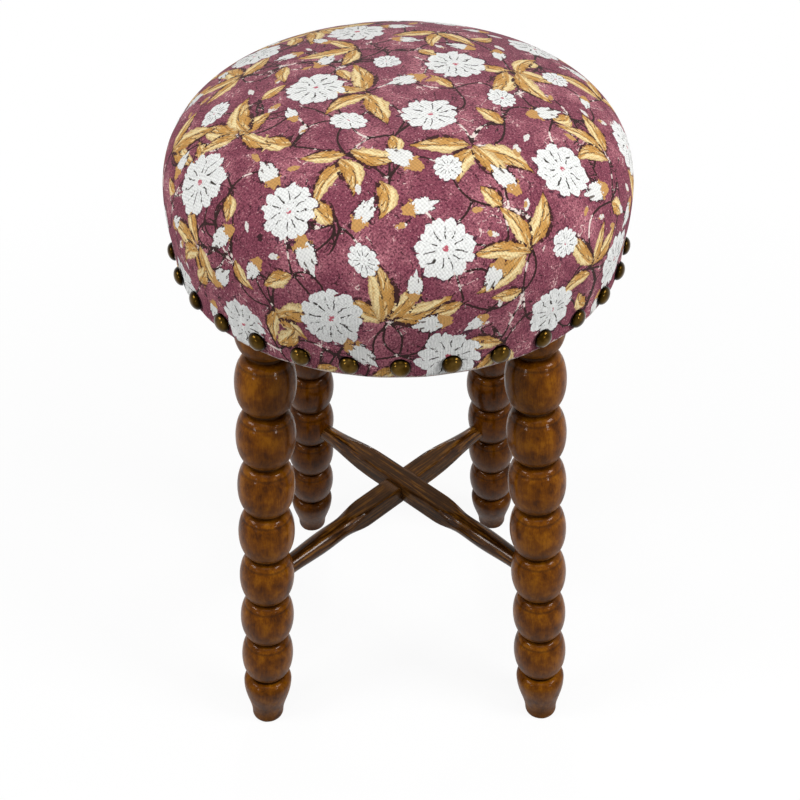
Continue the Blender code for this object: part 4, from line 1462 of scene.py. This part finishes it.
def nails(finish):
    """Dome-headed nails, a full ring of them, each a little askew."""
    head, rise = NAIL_HEAD_DIAMETER / 2, NAIL_HEAD_HEIGHT
    rows = [(0.0, rise)]
    for step in range(1, NAIL_STEPS):
        angle = math.pi / 2 * step / NAIL_STEPS
        rows.append((head * math.sin(angle), rise * math.cos(angle)))
    rows += [(head, NAIL_LIP), (head * NAIL_RIM, -NAIL_LIP)]
    rows += [(head * NAIL_HOLLOW, -NAIL_LIP / 2), (0.0, 2 * NAIL_LIP)]
    pattern = turned_pattern("nail_pattern", rows, NAIL_SEGMENTS)
    set_attribute(pattern.data, "crown", mesh_points(pattern.data)[:, 2] / rise)
    chance_turn = (NAIL_TILT, NAIL_TILT, math.pi)
    ring = ring_of(
        "dome_nails",
        pattern,
        finish,
        chance_turn,
        "Z",
        Count=NAIL_COUNT,
        Radius=HEM_RADIUS + GAP,
        Height=NAIL_Z,
        Seed=NAIL_SEED,
    )
    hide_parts(*[f"cover_nail_{number + 1:02d}" for number in range(NAIL_COUNT)])
    return ring


def staples(finish):
    """Wire staples that hold the liner: only their crowns show, lying along its edge."""
    half, wire = STAPLE_CROWN / 2, STAPLE_WIRE / 2
    shape = bmesh.new()
    bmesh.ops.create_cube(shape, size=1.0)
    bmesh.ops.transform(
        shape, matrix=Matrix.Diagonal((2 * wire, 2 * half, 2 * wire, 1.0)), verts=shape.verts
    )
    bmesh.ops.bevel(shape, geom=shape.edges[:], offset=wire * STAPLE_ROUND, segments=2, affect="EDGES")
    pattern = new_piece("staple_pattern", as_mesh(shape, "staple_pattern"))
    ring = ring_of(
        "liner_staples",
        pattern,
        finish,
        (0.0, 0.0, STAPLE_SKEW),
        "X",
        Count=STAPLE_COUNT,
        Radius=DUST_COVER_RADIUS - STAPLE_INSET,
        Height=DUST_COVER_TOP - DUST_COVER_THICKNESS - wire * STAPLE_ROUND,
        Seed=STAPLE_SEED,
    )
    return ring


def dust_cover(finish):
    """Liner stretched over the underside, cut out round the legs, sagging a little between its staples."""
    shape = bmesh.new()
    first = DUST_COVER_RADIUS / DUST_COVER_RINGS
    bmesh.ops.create_circle(shape, cap_ends=True, cap_tris=True, radius=first, segments=DUST_COVER_SEGMENTS)
    loop = [v for v in shape.verts if v.co.length > 1e-6]
    loop.sort(key=lambda v: math.atan2(v.co.y, v.co.x))
    rings = [loop]
    for number in range(2, DUST_COVER_RINGS + 1):
        radius = DUST_COVER_RADIUS * number / DUST_COVER_RINGS
        angles = [math.atan2(v.co.y, v.co.x) for v in rings[-1]]
        rings.append(ring_at(shape, radius, 0.0, angles))
    skin(shape, rings)
    for v in shape.verts:
        share = math.hypot(v.co.x, v.co.y) / DUST_COVER_RADIUS
        angle = math.atan2(v.co.y, v.co.x)
        ripple = 0.0
        for size, count, twist in DUST_COVER_RIPPLES:
            ripple += size * math.sin(count * angle + twist * share)
        v.co.z = DUST_COVER_TOP - DUST_COVER_SAG * (1 - share**2) * (DUST_COVER_EVEN + ripple)
    bmesh.ops.recalc_face_normals(shape, faces=shape.faces)
    liner = new_piece("liner_sheet", as_mesh(shape, "liner_sheet"), finish)
    thick = liner.modifiers.new("thickness", "SOLIDIFY")
    thick.thickness = DUST_COVER_THICKNESS
    thick.offset = -1.0
    plain_mesh(liner)
    cutters = []
    hole = NECK_DIAMETER / 2 + DUST_COVER_EASE
    for side in LEGS:
        foot, top = leg_axis(side)
        top_row, low_row = (hole, LEG_HOLE_DEPTH), (hole, -LEG_HOLE_DEPTH)
        rows = [(0.0, LEG_HOLE_DEPTH), top_row, low_row, (0.0, -LEG_HOLE_DEPTH)]
        cutter = turned_pattern("liner_cut", rows, LEG_HOLE_SEGMENTS)
        cutter.data.transform(along(top, top - foot))
        cut = liner.modifiers.new("leg_hole_" + side, "BOOLEAN")
        cut.object = cutter
        cutters.append(cutter)
    plain_mesh(liner)
    for cutter in cutters:
        bpy.data.objects.remove(cutter)
    liner.data.shade_smooth()
    liner.data.set_sharp_from_angle(angle=SMALL_SHARP)
    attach(liner, "root")
    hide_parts("dust_cover")
    return liner


# Stage


def background_rays(add):
    """1 for the rays that see the background: straight on, mirrored or through something clear."""
    rays = add("LightPath").outputs
    mirrored = add("Math", rays["Is Camera Ray"], rays["Is Glossy Ray"], operation="MAXIMUM")
    return add("Math", mirrored, rays["Is Transmission Ray"], operation="MAXIMUM")


def pale_floor():
    """Floor that takes soft shadows near the stool and fades to the white of the backdrop."""
    made, add = new_material("white_floor")
    seen = background_rays(add)
    paint = add("MapRange", seen, 0.0, 1.0, FLOOR_BOUNCE, 1.0)
    diffuse = add("BsdfDiffuse", Color=paint)
    white = add("Emission", Color=WHITE, Strength=1.0)
    away = add("VectorMath", add("TexCoord").outputs["Object"], operation="LENGTH").outputs["Value"]
    whiteness = add("MapRange", away, FLOOR_NEAR, FLOOR_FAR, FLOOR_WHITE, 1.0)
    share = add("Math", seen, whiteness, operation="MULTIPLY")
    mixed = add("MixShader", share, diffuse, white)
    add("OutputMaterial", Surface=mixed)
    shape = bmesh.new()
    bmesh.ops.create_grid(shape, x_segments=1, y_segments=1, size=FLOOR_HALF)
    mesh = as_mesh(shape, "floor")
    new_piece("floor", mesh, made)


def bright_room():
    """World that is white to the eye and dim as a light."""
    world = bpy.data.worlds.new("bright_room")
    bpy.context.scene.world = world
    world.use_nodes = True
    world.node_tree.nodes.clear()
    add = adder(world.node_tree)
    room = add("Background", Color=WHITE, Strength=ROOM_LIGHT)
    backdrop = add("Background", Color=WHITE, Strength=1.0)
    mixed = add("MixShader", background_rays(add), room, backdrop)
    add("OutputWorld", Surface=mixed)


def soft_box(name, place, length, width, power):
    lamp = bpy.data.lights.new(name, "AREA")
    lamp.shape = "RECTANGLE"
    lamp.size = length
    lamp.size_y = width
    lamp.energy = power
    light = bpy.data.objects.new(name, lamp)
    bpy.context.scene.collection.objects.link(light)
    aim = LAMP_AIM - Vector(place)
    light.matrix_world = Matrix.LocRotScale(Vector(place), aim.to_track_quat("-Z", "Y"), None)


def photo_camera():
    """Camera in the photo's place."""
    lens = bpy.data.cameras.new("camera")
    lens.lens = CAMERA_LENS
    camera = bpy.data.objects.new("camera", lens)
    tilt = Matrix.Rotation(math.pi / 2 - CAMERA_PITCH, 4, "X") @ Matrix.Rotation(CAMERA_ROLL, 4, "Z")
    camera.matrix_world = Matrix.Translation(CAMERA_PLACE) @ tilt
    bpy.context.scene.collection.objects.link(camera)
    bpy.context.scene.camera = camera


def main():
    bpy.context.scene.view_settings.view_transform = "Standard"
    pale_floor()
    bright_room()
    for name, look in LAMPS.items():
        soft_box(name, *look)
    photo_camera()
    # The back legs' wood is darkened as painted shade
    front_wood, shaded_back_wood, bar_wood = (turned_wood(name, *look) for name, look in WOODS.items())
    for number, side in enumerate(LEGS):
        turned_leg(side, number, front_wood if side.startswith("front") else shaded_back_wood)
    half_lap({name: stretcher(name, bar_wood) for name in STRETCHERS})
    make_cover(printed_cotton())
    nails(antique_brass())
    steel = zinc_steel()
    dust_cover(liner_cloth())
    staples(steel)
    finishes = {"leg_screw_" + side: steel for side in LEGS}
    finishes["seat_board"] = birch_plywood()
    for name, finish in finishes.items():
        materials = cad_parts[name].data.materials
        materials.clear()
        materials.append(finish)


main()
